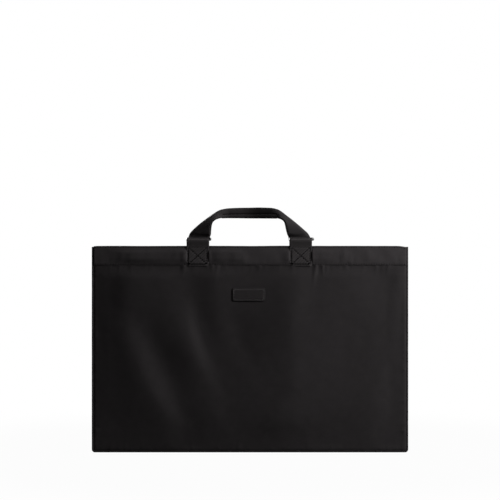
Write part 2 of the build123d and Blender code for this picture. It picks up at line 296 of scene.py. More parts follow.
def mesh_piece(name, points, faces, material, slot, uv=None):
    """A new smooth-shaded mesh object from millimetres, with a finish; the slot argument is not used."""
    mesh = bpy.data.meshes.new(name)
    vertices = (np.asarray(points, float).reshape(-1, 3) * MM).tolist()
    mesh.from_pydata(vertices, [], [[int(i) for i in f] for f in faces])
    if uv is not None:
        layer = mesh.uv_layers.new(name="cloth")
        spots = np.asarray(uv, float).reshape(-1, 2) * MM
        loops = np.array([l.vertex_index for l in mesh.loops])
        layer.data.foreach_set("uv", spots[loops].astype(np.float32).ravel())
    mesh.validate()
    mesh.shade_smooth()
    mesh.materials.append(material)
    piece = bpy.data.objects.new(name, mesh)
    bpy.context.scene.collection.objects.link(piece)
    return piece


def join_meshes(parts):
    """One list of points and faces from several."""
    points, faces, count = [], [], 0
    for p, f in parts:
        p = np.asarray(p, float).reshape(-1, 3)
        points.append(p)
        faces += [[int(i) + count for i in face] for face in f]
        count += len(p)
    return np.vstack(points), faces


def thicken(piece, thickness):
    """Gives a cloth piece its thickness, inward from the face that shows."""
    solid = piece.modifiers.new("Cloth thickness", "SOLIDIFY")
    solid.thickness = thickness * MM
    solid.offset = -1.0
    solid.use_even_offset = True


def outward(side, y):
    """Places a depth, counted outward from the middle of the case, on its front (-1) or rear (+1) side."""
    return side * np.asarray(y, float)


def facing(points, side):
    """Turns a grid's rows round on the front, so that its faces look outward on both sides."""
    return points if side > 0 else points[::-1]


# Stations of one grain of thread: share of its length, size, and lift off the cloth.
GRAIN = (
    (0.0, 0.35, -0.9),
    (0.13, 0.8, -0.1),
    (0.35, 1.0, 0.25),
    (0.65, 1.0, 0.25),
    (0.87, 0.8, -0.1),
    (1.0, 0.35, -0.9),
)
GRAIN_SIDES = 6


def thread_beads(points, normals, radius, pitch, gap=0.28, phase=0.0):
    """Stitches along a polyline: short grains of thread whose ends dip into the cloth.

    The gap is a share of the pitch, and the phase moves the stitches along a closed line.
    """
    path = np.asarray(points, float)
    far = np.r_[0, np.cumsum(np.linalg.norm(np.diff(path, axis=0), axis=1))]
    count = max(1, int(round(far[-1] / pitch)))
    step = far[-1] / count
    norms = np.broadcast_to(np.asarray(normals, float), path.shape)
    spot = lambda s, rows: np.stack([np.interp(s, far, rows[:, k]) for k in range(3)], 1)
    begin = (np.arange(count) + gap / 2 + phase) * step
    a, b = spot(begin % far[-1], path), spot((begin + step * (1 - gap)) % far[-1], path)
    n = spot((begin + step / 2) % far[-1], norms)
    n /= np.linalg.norm(n, axis=1)[:, None]
    t = b - a
    t /= np.maximum(np.linalg.norm(t, axis=1), 1e-9)[:, None]
    w = np.cross(t, n)
    turns = np.linspace(0, 2 * math.pi, GRAIN_SIDES, endpoint=False)
    out = []
    for share, size, lift in GRAIN:
        centre = a + (b - a) * share + n * lift * radius
        for turn in turns:
            out.append(centre + (n * math.sin(turn) + w * math.cos(turn)) * radius * size)
    grid = np.stack(out, 1)
    one = closed_tube(len(GRAIN), GRAIN_SIDES)
    faces = []
    for k in range(count):
        faces += [[i + k * len(out) for i in f] for f in one]
    return grid.reshape(-1, 3), faces


# ------------------------------------------------------------------ finishes
class Finish:
    """A material made of nodes over one Principled shader."""

    def __init__(self, name, colour, roughness, metallic=0.0, specular=0.5, sheen=0.0, coat=0.0):
        self.material = bpy.data.materials.new(name)
        self.material.use_nodes = True
        self.tree = self.material.node_tree
        self.shader = self.tree.nodes["Principled BSDF"]
        values = {
            "Base Color": (*colour, 1),
            "Roughness": roughness,
            "Metallic": metallic,
            "Specular IOR Level": specular,
            "Sheen Weight": sheen,
            "Sheen Roughness": 0.5,
            "Coat Weight": coat,
        }
        for socket, value in values.items():
            self.shader.inputs[socket].default_value = value
        self.colour = colour

    def node(self, kind, **inputs):
        """A new node with its inputs fed; an underscore stands for a space in an input's name."""
        made = self.tree.nodes.new(kind)
        for socket, value in inputs.items():
            self.feed(made, socket.replace("_", " "), value)
        return made

    def feed(self, node, socket, value):
        """Links or sets one input, by its name or by its number after a #."""
        target = node.inputs[int(socket[1:])] if socket[0] == "#" else node.inputs[socket]
        if isinstance(value, bpy.types.NodeSocket):
            self.tree.links.new(value, target)
        else:
            target.default_value = value

    def place(self, output="Object"):
        """Where a point lies: in the case's own frame, or on the flat cloth."""
        return self.node("ShaderNodeTexCoord").outputs[output]

    def math(self, operation, a, b=0.0):
        """The result of a sum on one or two values."""
        made = self.tree.nodes.new("ShaderNodeMath")
        made.operation = operation
        self.feed(made, "#0", a)
        self.feed(made, "#1", b)
        return made.outputs[0]

    def ribs(self, place, direction, pitch):
        """Sine ribs across a direction, from -1 to 1."""
        length = math.sqrt(sum(c * c for c in direction))
        wave = [2 * math.pi * c / length / pitch for c in direction]
        dot = self.tree.nodes.new("ShaderNodeVectorMath")
        dot.operation = "DOT_PRODUCT"
        self.feed(dot, "#0", place)
        dot.inputs[1].default_value = wave
        return self.math("SINE", dot.outputs["Value"])

    def grain(self, place, scale, detail=3.0):
        """Fractal noise from 0 to 1."""
        made = self.node("ShaderNodeTexNoise", Vector=place, Scale=scale, Detail=detail, Roughness=0.55)
        return made.outputs["Fac"]

    def mottle(self, amount, height):
        """Shades the base colour between darker and lighter as a height from 0 to 1 says."""
        mix = self.tree.nodes.new("ShaderNodeMix")
        mix.data_type = "RGBA"
        self.feed(mix, "Factor", height)
        mix.inputs[6].default_value = (*[c * (1 - amount) for c in self.colour], 1)
        mix.inputs[7].default_value = (*[min(1, c * (1 + amount)) for c in self.colour], 1)
        self.tree.links.new(mix.outputs[2], self.shader.inputs["Base Color"])

    def vary_roughness(self, low_value, high_value, height):
        """Spreads the roughness between two values as a height from 0 to 1 says."""
        spread = self.node("ShaderNodeMapRange", Value=height)
        spread.inputs["To Min"].default_value = low_value
        spread.inputs["To Max"].default_value = high_value
        self.tree.links.new(spread.outputs[0], self.shader.inputs["Roughness"])

    def bump(self, height, depth, strength):
        """Adds a fine relief of some millimetres to those that are there."""
        made = self.node("ShaderNodeBump", Height=height, Strength=strength, Distance=depth * MM)
        previous = self.shader.inputs["Normal"]
        if previous.is_linked:
            self.tree.links.new(previous.links[0].from_socket, made.inputs["Normal"])
        self.tree.links.new(made.outputs[0], previous)


def woven(name, colour, pitch, roughness=0.62, directions=((1, 0, 0), (0, 0, 1)), depth=0.06):
    """Plain-woven cloth: crossing threads, a soft slub and a fine fuzz."""
    made = Finish(name, colour, roughness, specular=0.02)
    place = made.place()
    warp, weft = (made.ribs(place, direction, pitch) for direction in directions)
    threads = made.math("MULTIPLY", warp, weft)
    slub = made.grain(place, 60.0)
    made.mottle(0.14, slub)
    made.vary_roughness(roughness - 0.05, roughness + 0.06, made.grain(place, 300.0))
    made.bump(threads, depth, 0.5)
    made.bump(made.grain(place, 1400.0, 2.0), 0.05, 0.35)
    return made.material


# Pitch of the shell fabric's threads and of the lining's, in metres.
SHELL_THREADS = 0.0009
LINING_THREADS = 0.0005


def cloth_finish():
    """The shell fabric of the walls."""
    return woven("Woven nylon shell", tuple(bpy.context.scene.case_cloth.colour), SHELL_THREADS)


def hem_finish():
    """The shell fabric turned across its grain, with its colour raised 1.4 times as painted light: the puffed
    hem catches more of the light from above than the wall.
    """
    colour = tuple(1.4 * c for c in bpy.context.scene.case_cloth.colour)
    return woven("Woven nylon hem with painted light", colour, SHELL_THREADS, directions=((0, 0, 1), (1, 0, 0)))


def side_cloth_finish():
    """The shell fabric where it runs across the case's depth."""
    colour = tuple(bpy.context.scene.case_cloth.colour)
    return woven("Woven nylon gusset", colour, SHELL_THREADS, directions=((1, 0, 1), (0, 1, 0)))


def lining_finish():
    """Finer and smoother cloth for the inside."""
    colour = tuple(bpy.context.scene.case_cloth.lining)
    return woven("Smooth lining cloth", colour, LINING_THREADS, roughness=0.5, depth=0.03)


def piping_finish():
    """Bias-cut fabric sleeve round the piping cord, its colour the shell's raised a tenth as painted light
    for the piping that faces away from the key lamp.
    """
    colour = [c * 1.1 for c in bpy.context.scene.case_cloth.colour]
    return woven("Bias-cut piping sleeve", colour, SHELL_THREADS, directions=((1, 1, 1), (1, 1, -1)))


def webbing_finish(name="Ribbed webbing", shade=1.0):
    """Twill webbing: slanting ribs crossed by fine picks, laid out on the flat strip; a shade below 1 makes a
    darker copy of it, which is painted shade.
    """
    pitch = bpy.context.scene.case_webbing.rib
    colour = tuple(shade * c for c in bpy.context.scene.case_webbing.colour)
    made = Finish(name, colour, 0.6, specular=0.02)
    flat = made.place("UV")
    ribs = made.ribs(flat, (1, 1, 0), pitch)
    picks = made.ribs(flat, (0, 1, 0), pitch * 0.45)
    height = made.math("ADD", ribs, made.math("MULTIPLY", picks, 0.25))
    weave = made.node("ShaderNodeMapRange", Value=height)
    weave.inputs["From Min"].default_value = -1.25
    weave.inputs["From Max"].default_value = 1.25
    made.mottle(0.2, weave.outputs[0])
    made.bump(height, 0.13, 0.8)
    made.bump(made.grain(made.place(), 1500.0, 2.0), 0.06, 0.4)
    return made.material


def thread_finish(name="Sewing thread", colour=None):
    """Twisted polyester thread; its default near-black colour is partly the thread's own and partly painted
    shade of stitch grooves and needle holes.
    """
    made = Finish(name, colour or tuple(bpy.context.scene.case_cloth.thread), 0.7, specular=0.01)
    place = made.place()
    twist = made.ribs(place, (1, 1, 1), 0.0006)
    made.mottle(0.2, made.grain(place, 900.0))
    made.bump(twist, 0.08, 0.6)
    return made.material


def label_thread_finish():
    """The label's paler waxed thread."""
    return thread_finish("Waxed label thread", (0.115, 0.108, 0.110))


def selvedge_finish():
    """The webbing's thicker edge yarns."""
    colour = tuple(1.2 * c for c in bpy.context.scene.case_webbing.colour)
    return thread_finish("Webbing selvedge yarn", colour)


def plated_finish(name, colour=(0.012, 0.012, 0.013), roughness=0.22):
    """Black-plated metal with faint wear."""
    made = Finish(name, colour, roughness, metallic=0.6, specular=0.5, coat=0.3)
    place = made.place()
    made.shader.inputs["Coat Roughness"].default_value = 0.15
    made.mottle(0.25, made.grain(place, 120.0))
    made.vary_roughness(roughness - 0.06, roughness + 0.12, made.grain(place, 400.0, 4.0))
    made.bump(made.grain(place, 900.0, 2.0), 0.02, 0.3)
    return made.material


def leather_finish():
    """Calf leather with a fine pebbled grain and a low gloss."""
    made = Finish("Pebbled label leather", (0.0165, 0.0150, 0.0154), 0.42, specular=0.05)
    place = made.place()
    cells = made.node("ShaderNodeTexVoronoi", Vector=place, Scale=1300.0)
    cells.feature = "SMOOTH_F1"
    made.mottle(0.25, made.grain(place, 200.0))
    made.vary_roughness(0.36, 0.5, made.grain(place, 500.0))
    made.bump(cells.outputs["Distance"], 0.12, 0.5)
    made.bump(made.grain(place, 700.0), 0.08, 0.4)
    return made.material


def plastic_finish(name, colour, roughness):
    """Moulded or drawn plastic with a slight haze."""
    made = Finish(name, colour, roughness, specular=0.4)
    place = made.place()
    made.mottle(0.15, made.grain(place, 150.0))
    made.bump(made.grain(place, 1200.0, 2.0), 0.03, 0.4)
    return made.material


def tape_finish():
    """Herringbone zip tape."""
    made = Finish("Herringbone zip tape", (0.013, 0.013, 0.013), 0.7, specular=0.25, sheen=0.02)
    place = made.place()
    rising, falling = (made.ribs(place, (1, slant, 0), 0.0011) for slant in (1, -1))
    ribs = made.math("MULTIPLY", rising, falling)
    made.mottle(0.2, made.grain(place, 300.0))
    made.bump(ribs, 0.08, 0.6)
    return made.material


def foam_finish():
    """Open-celled padding."""
    made = Finish("Open-cell padding", (0.20, 0.20, 0.21), 0.9, specular=0.1)
    place = made.place()
    cells = made.node("ShaderNodeTexVoronoi", Vector=place, Scale=900.0)
    made.mottle(0.3, cells.outputs["Distance"])
    made.bump(cells.outputs["Distance"], 0.3, 0.7)
    return made.material


def board_finish():
    """Grey pressed board."""
    made = Finish("Pressed stiffener board", (0.22, 0.19, 0.15), 0.85, specular=0.2)
    place = made.place()
    made.mottle(0.2, made.grain(place, 250.0, 6.0))
    made.bump(made.grain(place, 800.0, 4.0), 0.1, 0.5)
    return made.material


def dress_node(node, material):
    """A finish on a CAD solid whose shape is right as it is."""
    piece = frame["nodes"][node]
    piece.data.materials.clear()
    piece.data.materials.append(material)
    return piece


# ------------------------------------------------------------------ wall relief
# A fold or hollow: middle x and z, lean of its crest from upright in radians, half length, width of
# its left and right flanks, height, and how far the crest's ends bend away. The front's values were
# fitted by another program and rounded, and the rear's were set one by one.
FRONT_FOLDS = (
    (-65, 297, -0.14, 95, 42, 39, 7.6, 28),
    (-129, 213, 0.15, 112, 39, 38, 7.1, -3),
    (26, 132, 0.71, 68, 89, 42, 6.5, 13),
    (233, 241, -0.09, 140, 79, 40, -5.9, -22),
    (-17, 183, 0.56, 128, 90, 39, -5.9, 29),
    (-106, 247, 0.79, 56, 67, 66, -5.9, -30),
    (-213, 280, -0.08, 136, 34, 54, 5.9, 30),
    (74, 262, -0.18, 112, 42, 28, 5.7, 12),
    (242, 226, -0.14, 157, 38, 26, 5.4, -3),
    (193, 304, 0.07, 95, 53, 41, 5.3, 0),
    (-144, 143, 0.44, 125, 26, 34, -4.8, -21),
    (-177, 108, 0.51, 79, 56, 22, 3.7, 9),
    (-102, 191, 0.29, 69, 22, 14, 3.6, 7),
    (59, 57, 0.19, 28, 48, 84, 3.0, 6),
    (106, 205, -0.32, 145, 31, 38, 3.0, 0),
    (239, 195, 0.01, 160, 53, 17, -2.1, 8),
    (-68, 69, 0.37, 36, 59, 20, 1.8, 4),
    (-250, 224, 0.04, 154, 15, 43, 1.1, -4),
)
REAR_FOLDS = (
    (186, 205, -0.42, 95, 26, 44, 5.6, -8),
    (92, 190, -0.30, 75, 15, 24, 4.0, -6),
    (-40, 215, -0.12, 95, 34, 46, 5.2, -8),
    (-150, 260, 0.30, 110, 46, 50, 4.2, 14),
    (-120, 90, 0.45, 60, 40, 32, 3.0, 6),
    (232, 260, -0.05, 120, 40, 30, 4.2, 10),
    (20, 70, -0.35, 50, 60, 50, 3.4, 10),
    (140, 120, -0.55, 90, 34, 30, -2.4, -12),
    (-236, 120, -0.10, 90, 22, 40, 2.2, -6),
    (60, 300, 0.15, 60, 30, 40, 2.6, 8),
)
# Larger gathers below the hem: place along it, height as a share of the pucker height, reach down.
HEM_GATHERS = (
    (117, 2.4, 26),
    (128, 1.8, 18),
    (137, 1.2, 14),
    (-66, 1.6, 16),
    (-118, 1.3, 14),
    (-58, 1.0, 22),
    (246, 1.4, 12),
)
# How far the wall's fabric runs up under the hem, and out into its other seams.
UNDER_HEM = 12
SEAM_ALLOWANCE = 0.3


def fold_relief(x, z, folds):
    """Height of the long folds over the wall."""
    total = np.zeros_like(x)
    for middle, level, lean, length, left, right, height, bend in folds:
        far = (x - middle) * math.sin(lean) - (z - level) * math.cos(lean)
        off = (x - middle) * math.cos(lean) + (z - level) * math.sin(lean)
        off -= bend * (far / length) ** 2
        flank = np.where(off < 0, left, right)
        total += height * np.exp(-((far / length) ** 2) - (off / flank) ** 2)
    return total


def pucker_relief(x, drop, seed, spots=()):
    """Small gathers that hang from a line of stitches, and the larger spots given: height below it."""
    count, span = 90, 272
    random = np.random.default_rng(seed)
    total = np.zeros_like(x)
    places = [(random.uniform(-span, span), 0.5, random.uniform(5, 16)) for _ in range(count)]
    for place, height, reach in (*places, *spots):
        width = random.uniform(1.6, 3.6)
        lean = random.uniform(-0.25, 0.25)
        size = height * random.uniform(0.4, 1.0)
        ridge = np.exp(-(((x - place - lean * drop) / width) ** 2))
        total += size * ridge * np.exp(-((drop / reach) ** 2))
    return total


def beside_label(x, z):
    """Distance in the wall's plane from the label's edge, nothing under it."""
    lo, hi = corners("label_patch")
    aside = np.maximum(np.abs(x - LABEL_OFF) - hi[0], 0)
    return np.hypot(aside, np.maximum(np.maximum(lo[2] - z, z - hi[2]), 0))


def seam_distances(x, z):
    """Distances in the wall's plane from its side, its foot and the lower row of the hem's stitches."""
    return WALL_SIDE - np.abs(x), z - WALL_FOOT, HEM_ROWS[0] - z


def clear_of_seams(x, z):
    """0 on the wall's seams, rising to 1 a little way off them."""
    to_side, to_foot, to_hem = seam_distances(x, z)
    return ease(to_side / 12) * ease(to_foot / 12) * ease(to_hem / 26)


def broad_relief(x, z, folds):
    """The wall's belly and shaped folds, without its small wrinkles, in millimetres."""
    cloth = bpy.context.scene.case_cloth
    to_side, to_foot, to_hem = seam_distances(x, z)
    deep = ease(to_side / 90) * ease(to_foot / 90) * ease(to_hem / 90)
    shaped = cloth.fold_height * fold_relief(x, z, folds) * clear_of_seams(x, z)
    return cloth.belly / MM * deep + shaped


def wall_relief(x, z, folds, seed, spots):
    """How far the wall's fabric stands out from its flat face, in millimetres."""
    to_side, to_foot, to_hem = seam_distances(x, z)
    seam = clear_of_seams(x, z)
    if folds is FRONT_FOLDS:
        seam = seam * ease(beside_label(x, z) / 12)
    total = broad_relief(x, z, folds)
    total += 0.12 * noise(x, z, 26, seed) * seam + 0.07 * noise(x, z, 9, seed + 1) * seam
    gather = bpy.context.scene.case_cloth.pucker_height / MM
    total += gather * 1.5 * pucker_relief(x, np.maximum(to_hem, 0), seed + 2, spots) * ease(to_hem / 2)
    total += gather * 0.8 * pucker_relief(x, to_foot, seed + 3) * ease(to_foot / 2)
    side_seed = seed + 4 + (x[0, 0] > 0)
    total += gather * 0.8 * pucker_relief(z - 170, to_side, side_seed) * ease(to_side / 2)
    total -= 0.5 * np.exp(-((to_hem / 1.2) ** 2))
    total += 0.3 * ease(to_side / 3) * ease(to_foot / 3)
    if folds is FRONT_FOLDS:
        total -= 0.3 * (1 - ease(beside_label(x, z) / 3))
    return np.where(total < 0, -0.5 * (1 - np.exp(total / 0.5)), total)


def make_wall(side):
    """The shell fabric of the front (-1) or rear (+1) wall, with its folds and gathers."""
    word = "front" if side < 0 else "rear"
    step = 3.0
    edge, foot, top = WALL_SIDE + SEAM_ALLOWANCE, WALL_FOOT - SEAM_ALLOWANCE, HEM_FOOT + UNDER_HEM
    x = np.linspace(-edge, edge, int(2 * WALL_SIDE / step))
    z = np.linspace(foot, top, int((top - WALL_FOOT) / step))
    z, x = np.meshgrid(z, x, indexing="ij")
    folds = FRONT_FOLDS if side < 0 else REAR_FOLDS
    proud = wall_relief(x, z, folds, 11 if side < 0 else 51, HEM_GATHERS)
    to_side, to_foot, _ = seam_distances(x, z)
    tuck = 0.5 * (1 - ease(to_side / 2.2)) + 0.2 * (1 - ease(to_foot / 2.2))
    depth = WALL_FACE - 0.05 + proud - tuck
    grid = np.stack([x, outward(side, depth), z], -1)
    grid = facing(grid, side)
    faces = lattice(*x.shape)[:, ::-1]
    piece = mesh_piece(f"{word}_wall_fabric", grid, faces, cloth_finish(), "shell_fabric")
    smooth = piece.modifiers.new("Cloth smoothing", "SUBSURF")
    smooth.levels = smooth.render_levels = 1
    thicken(piece, CLOTH)
    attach(piece, "case")
    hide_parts(f"{word}_panel")


# ------------------------------------------------------------------ hem, piping, gusset
# Soft swells of a hem between its rows of stitches: middle, width, height. Eight rows were fitted by
# another program, most with their heights then changed, and the other five were set one by one.
HEM_SWELLS = (
    (-213.7, 23.4, 1.9),
    (-173.1, 34.6, 2.2),
    (-130.1, 14.4, 1.4),
    (-117.0, 6.0, 1.5),
    (-75.0, 6.5, 1.1),
    (-56.0, 13.0, 2.0),
    (-26.5, 17.8, 1.7),
    (66.0, 8.0, 1.4),
    (106.0, 9.0, 1.6),
    (134.6, 22.4, 1.3),
    (182.8, 6.8, -0.3),
    (210.1, 7.7, 0.4),
    (271.2, 6.0, 0.3),
)


def hem_droop(x):
    """How far the ends of a hem hang below its middle, in millimetres."""
    return 1.2 * ease((np.abs(x + 4) - 266) / 12) + 1.4 * ease((x - 272) / 5)


def make_hem(side):
    """The folded band over a wall's top edge, puffed between its two rows of stitches."""
    word = "front" if side < 0 else "rear"
    seed = 21 if side < 0 else 61
    top, foot, out, back = HEM_TOP, HEM_FOOT, HEM_FACE, HEM_BACK
    # Depth and height up the inside, over the top and down the outside.
    outline = [(back, foot), (back, foot + 8), (back, foot + 20), (back, top - 3)]
    outline += [(back + 0.15, top - 1.2), (back + 0.5, top - 0.5), (back + 1.2, top - 0.05)]
    outline += [(back + 2.4, top), (out - 2.0, top), (out - 0.9, top - 0.15)]
    outline += [(out - 0.35, top - 0.6), (out - 0.05, top - 1.5)]
    outline += [(out, z) for z in np.linspace(top - 2.4, foot + 0.6, 20)]
    outline += [(out - 0.2, foot + 0.15), (out - 0.62, foot)]
    outline = np.array(outline)
    x = np.linspace(-WALL_SIDE, WALL_SIDE, 300)
    rows, columns = len(outline), len(x)
    depth = np.repeat(outline[:, :1], columns, 1)
    height = np.repeat(outline[:, 1:], columns, 1)
    across = np.repeat(x[None], rows, 0)
    shown = ease((depth - (out - 1.0)) / 0.9)
    lower, upper = HEM_ROWS
    gap = (height - lower) / (upper - lower)
    crown = np.clip(4 * gap * (1 - gap), 0, 1)
    ripple = 0.35 * noise(across + height * 0.3, height * 0.3, 21, seed)
    ripple += 0.3 * noise(across - height * 0.2, height * 0.4, 8, seed + 1)
    scallop = np.cos(across * 2 * math.pi / (bpy.context.scene.case_cloth.stitch / MM))
    pull = sum((0.3 + 0.1 * scallop) * np.exp(-(((height - row) / 0.9) ** 2)) for row in HEM_ROWS)
    gathers = 0.35 * pucker_relief(across, np.maximum(height - lower, 0), seed + 2)
    gathers += 0.3 * pucker_relief(across, np.maximum(upper - height, 0), seed + 3)
    swell = sum(size * np.exp(-(((across - place) / reach) ** 2)) for place, reach, size in HEM_SWELLS)
    swell = swell * ease(gap / 0.35) * ease((1 - gap) / 0.35)
    from_tabs = [np.abs(across - SEWN_OFF - end * TAB_X) - TAB_WIDTH / 2 for end in (-1, 1)]
    under_tab = sum(1 - ease((away + 2) / 2) for away in from_tabs)
    relief = 0.5 * crown + swell + ripple * crown - pull + gathers * ease(abs(height - lower)) * 0.6
    depth = depth - shown * (TAB_SINK + 0.3) * under_tab
    depth = depth + shown * (1 - under_tab) * relief
    sag = 0.3 * noise(across, 0 * across, 60, seed + 4) - 0.95
    sag += 0.08 * noise(across, 0 * across, 14, seed + 5)
    droop = ease((height - foot) / (top - foot)) * hem_droop(across)
    height = height + ease((height - (top - 4)) / 4) * sag - droop
    grid = facing(np.stack([across, outward(side, depth), height], -1), side)
    piece = mesh_piece(f"{word}_hem", grid, lattice(rows, columns)[:, ::-1], hem_finish(), "shell_fabric")
    thicken(piece, CLOTH * 0.9)
    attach(piece, "case")
    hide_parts(f"{word}_hem_band")


def make_hem_stitches(side):
    """Two rows of thread along a hem, broken behind the tabs."""
    word = "front" if side < 0 else "rear"
    pitch = bpy.context.scene.case_cloth.stitch / MM
    clear = TAB_WIDTH / 2 + 0.6
    left, right = SEWN_OFF - TAB_X, SEWN_OFF + TAB_X
    spans = ((-WALL_SIDE + 1, left - clear), (left + clear, right - clear), (right + clear, WALL_SIDE - 1))
    y = outward(side, HEM_FACE)
    rows = []
    for z, drop in zip(HEM_ROWS, (0.1, 0.95)):
        for start, stop in spans:
            x = np.linspace(start, stop, 80)
            line = np.stack([x, np.full(len(x), y), z - drop * hem_droop(x)], 1)
            # Painted shade: the short near-black beads with wide gaps stand partly for the thread and partly
            # for the shade of the needle holes along the row.
            rows.append(thread_beads(line, (0, side, 0), radius=0.85, pitch=pitch, gap=0.46))
    points, faces = join_meshes(rows)
    piece = mesh_piece(f"{word}_hem_thread", points, faces, thread_finish(), "thread")
    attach(piece, "case")
    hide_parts(f"{word}_hem_stitching")


def tube(path, radius, sides, cross):
    """A round tube along a path; cross is a direction never parallel to it."""
    run = np.gradient(path, axis=0)
    run /= np.linalg.norm(run, axis=1)[:, None]
    side = np.cross(run, cross)
    side /= np.linalg.norm(side, axis=1)[:, None]
    up = np.cross(side, run)
    turn = np.linspace(0, 2 * math.pi, sides, endpoint=False)
    radius = np.broadcast_to(radius, len(path))[:, None, None]
    ring = np.cos(turn)[None, :, None] * side[:, None] + np.sin(turn)[None, :, None] * up[:, None]
    return path[:, None] + ring * radius


def side_path(edge, foot, top, corner, step):
    """U-shaped line in X and Z: down the left, along the bottom with round corners, up the right."""
    left = [(-edge, top)]
    for a in np.linspace(0, math.pi / 2, 7):
        left.append((-edge + corner * (1 - math.cos(a)), foot + corner * (1 - math.sin(a))))
    right = [(-x, z) for x, z in reversed(left)]
    return along(left + right, step)


def make_piping(side):
    """Fabric-covered cord round a wall's edge, with the slight waver of sewn piping."""
    word = "front" if side < 0 else "rear"
    node = f"{word}_piping"
    edge, foot, top = high(node, 0) - PIPING, low(node, 2) + PIPING, high(node, 2)
    depth = outward(side, WALL_FACE + 0.2 - PIPING)
    x, z = side_path(edge, foot, top, corner=3.0, step=2.5).T
    waver = 0.12 * noise(x, z, 17, 31)
    inward = np.sign(x) * np.abs(waver)
    path = np.stack([x - inward, depth + 0.1 * waver, z + np.abs(waver) * 0.5], 1)
    radius = PIPING * (1 - 0.03 * np.abs(noise(x, z, 7, 32)))
    grid = tube(path, radius, sides=12, cross=(0, 1, 0))
    faces = closed_tube(*grid.shape[:2])
    piece = mesh_piece(f"{word}_piping_cord", grid, faces, piping_finish(), "piping")
    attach(piece, "case")
    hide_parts(node)


def make_gusset():
    """One strip of shell fabric round the sides and the base, drawn in a little between the pipings."""
    edge, top = high("right_side_gusset", 0), high("right_side_gusset", 2)
    corner, step = 4.2, 3.0
    half = -low("base_gusset", 1)
    reach = half + 0.35
    flat = side_path(edge, 0.0, top, corner, step)
    run = np.gradient(flat, axis=0)
    run /= np.linalg.norm(run, axis=1)[:, None]
    inward = np.stack([-run[:, 1], run[:, 0]], 1)
    across = np.linspace(-reach, reach, 15)
    share = across / half
    on_side = ease((flat[:, 1] - 8) / 20)[:, None]
    hollow = 1.3 * on_side * (1 - share[None] ** 2) + 0.15
    far, wide = np.meshgrid(np.arange(len(flat)) * step, across, indexing="ij")
    crumple = 0.5 * noise(far, wide * 1.2, 16, 41) + 0.25 * noise(far, wide, 6, 42)
    crumple *= np.clip(1 - share[None] ** 2, 0, 1) ** 0.5
    inset = np.maximum(hollow + crumple * on_side * 0.8, 0.02 + 0.1 * (1 - on_side))
    points = np.empty((len(flat), len(across), 3))
    points[..., 0] = flat[:, :1] + inward[:, :1] * inset
    points[..., 1] = across[None]
    points[..., 2] = flat[:, 1:] + inward[:, 1:] * inset
    faces = lattice(len(flat), len(across))
    piece = mesh_piece("gusset_strip", points, faces, side_cloth_finish(), "shell_fabric")
    thicken(piece, CLOTH * 0.8)
    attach(piece, "case")
    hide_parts("left_side_gusset", "right_side_gusset", "base_gusset")


# ------------------------------------------------------------------ interior
def cloth_plate(name, span, counts, normal, wave, seed):
    """A flat sheet of lining from one corner to another, with a soft wave in it, facing along normal.

    Returns the piece and the two sides of its flat size, the shorter one first.
    """
    a, b = (np.asarray(corner, float) for corner in span)
    thin = int(np.argmax(np.abs(normal)))
    u, v = [k for k in range(3) if k != thin]
    ticks = [np.linspace(a[k], b[k], count) for k, count in zip((u, v), counts)]
    p, q = np.meshgrid(*ticks, indexing="ij")
    rim = ease((p - a[u]) / 12) * ease((b[u] - p) / 12) * ease((q - a[v]) / 12) * ease((b[v] - q) / 12)
    points = np.empty((*p.shape, 3))
    points[..., u], points[..., v] = p, q
    lift = wave * (0.5 + 0.5 * noise(p, q, 45, seed)) * rim
    points[..., thin] = a[thin] + normal[thin] * lift
    faces = lattice(*counts)
    flip = np.cross(np.eye(3)[u], np.eye(3)[v])[thin] * normal[thin] < 0
    made = mesh_piece(name, points, faces if flip else faces[:, ::-1], lining_finish(), "lining")
    size = sorted(((b - a)[u] * MM, (b - a)[v] * MM))
    return made, size


def fit_lining(node, made, size, thickness):
    """Puts a sheet of lining in its solid's place, lying on the piece under it."""
    thicken(made, thickness)
    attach(made, "case")
    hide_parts(node)


# Radius of the upper corners of a wall's padding and board.
LAYER_CORNER = 14.0


def make_layer(node, finish, slot):
    """A flat inner layer of a wall, its upper corners rounded off to clear the ends of the hem."""
    (x0, y0, z0), (x1, y1, z1) = corners(node)
    turn = np.linspace(0, math.pi / 2, 9)
    in_x, in_z = LAYER_CORNER * (1 - np.cos(turn)), LAYER_CORNER * (1 - np.sin(turn))
    right = np.stack([x1 - in_x, z1 - in_z], 1)
    left = right[::-1] * (-1, 1)
    outline = np.vstack([[(x0, z0), (x1, z0)], right, left])
    count = len(outline)
    points = [(x, y, z) for y in (y0, y1) for x, z in outline]
    faces = [list(range(count)), list(range(2 * count - 1, count - 1, -1))]
    faces += [[i, i + count, (i + 1) % count + count, (i + 1) % count] for i in range(count)]
    name = node.replace("board", "stiffener").replace("foam", "padding")
    piece = mesh_piece(name, points, faces, finish, slot)
    piece.data.shade_flat()
    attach(piece, "case")
    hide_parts(node)
    return piece


def make_pocket():
    """Slip pocket on the rear wall: a sheet, the binding along its mouth and three rows of stitches."""
    lo, hi = corners("inner_pocket")
    y = hi[1] - 0.45
    span = ((lo[0], y, lo[2]), (hi[0], y, hi[2]))
    made, size = cloth_plate("slip_pocket_cloth", span, (70, 50), (0, -1, 0), wave=0.5, seed=75)
    thicken(made, 0.35)
    span = ((lo[0], lo[1], hi[2] - 12), (hi[0], lo[1], hi[2]))
    binding, _ = cloth_plate("slip_pocket_binding", span, (60, 5), (0, -1, 0), wave=0.1, seed=76)
    thicken(binding, 0.4)
    mouth, side_y = (lo[1] - 0.05, hi[2] - 10.5), hi[1] - 0.55
    lines = [((lo[0] + 2, *mouth), (hi[0] - 2, *mouth))]
    lines += [((x, side_y, lo[2] + 1), (x, side_y, hi[2] - 13)) for x in (lo[0] + 1.5, hi[0] - 1.5)]
    rows = [thread_beads(line, (0, -1, 0), radius=0.3, pitch=2.8) for line in lines]
    thread = mesh_piece("slip_pocket_thread", *join_meshes(rows), thread_finish(), "thread")
    for part in (made, binding, thread):
        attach(part, "case")
    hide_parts("inner_pocket")


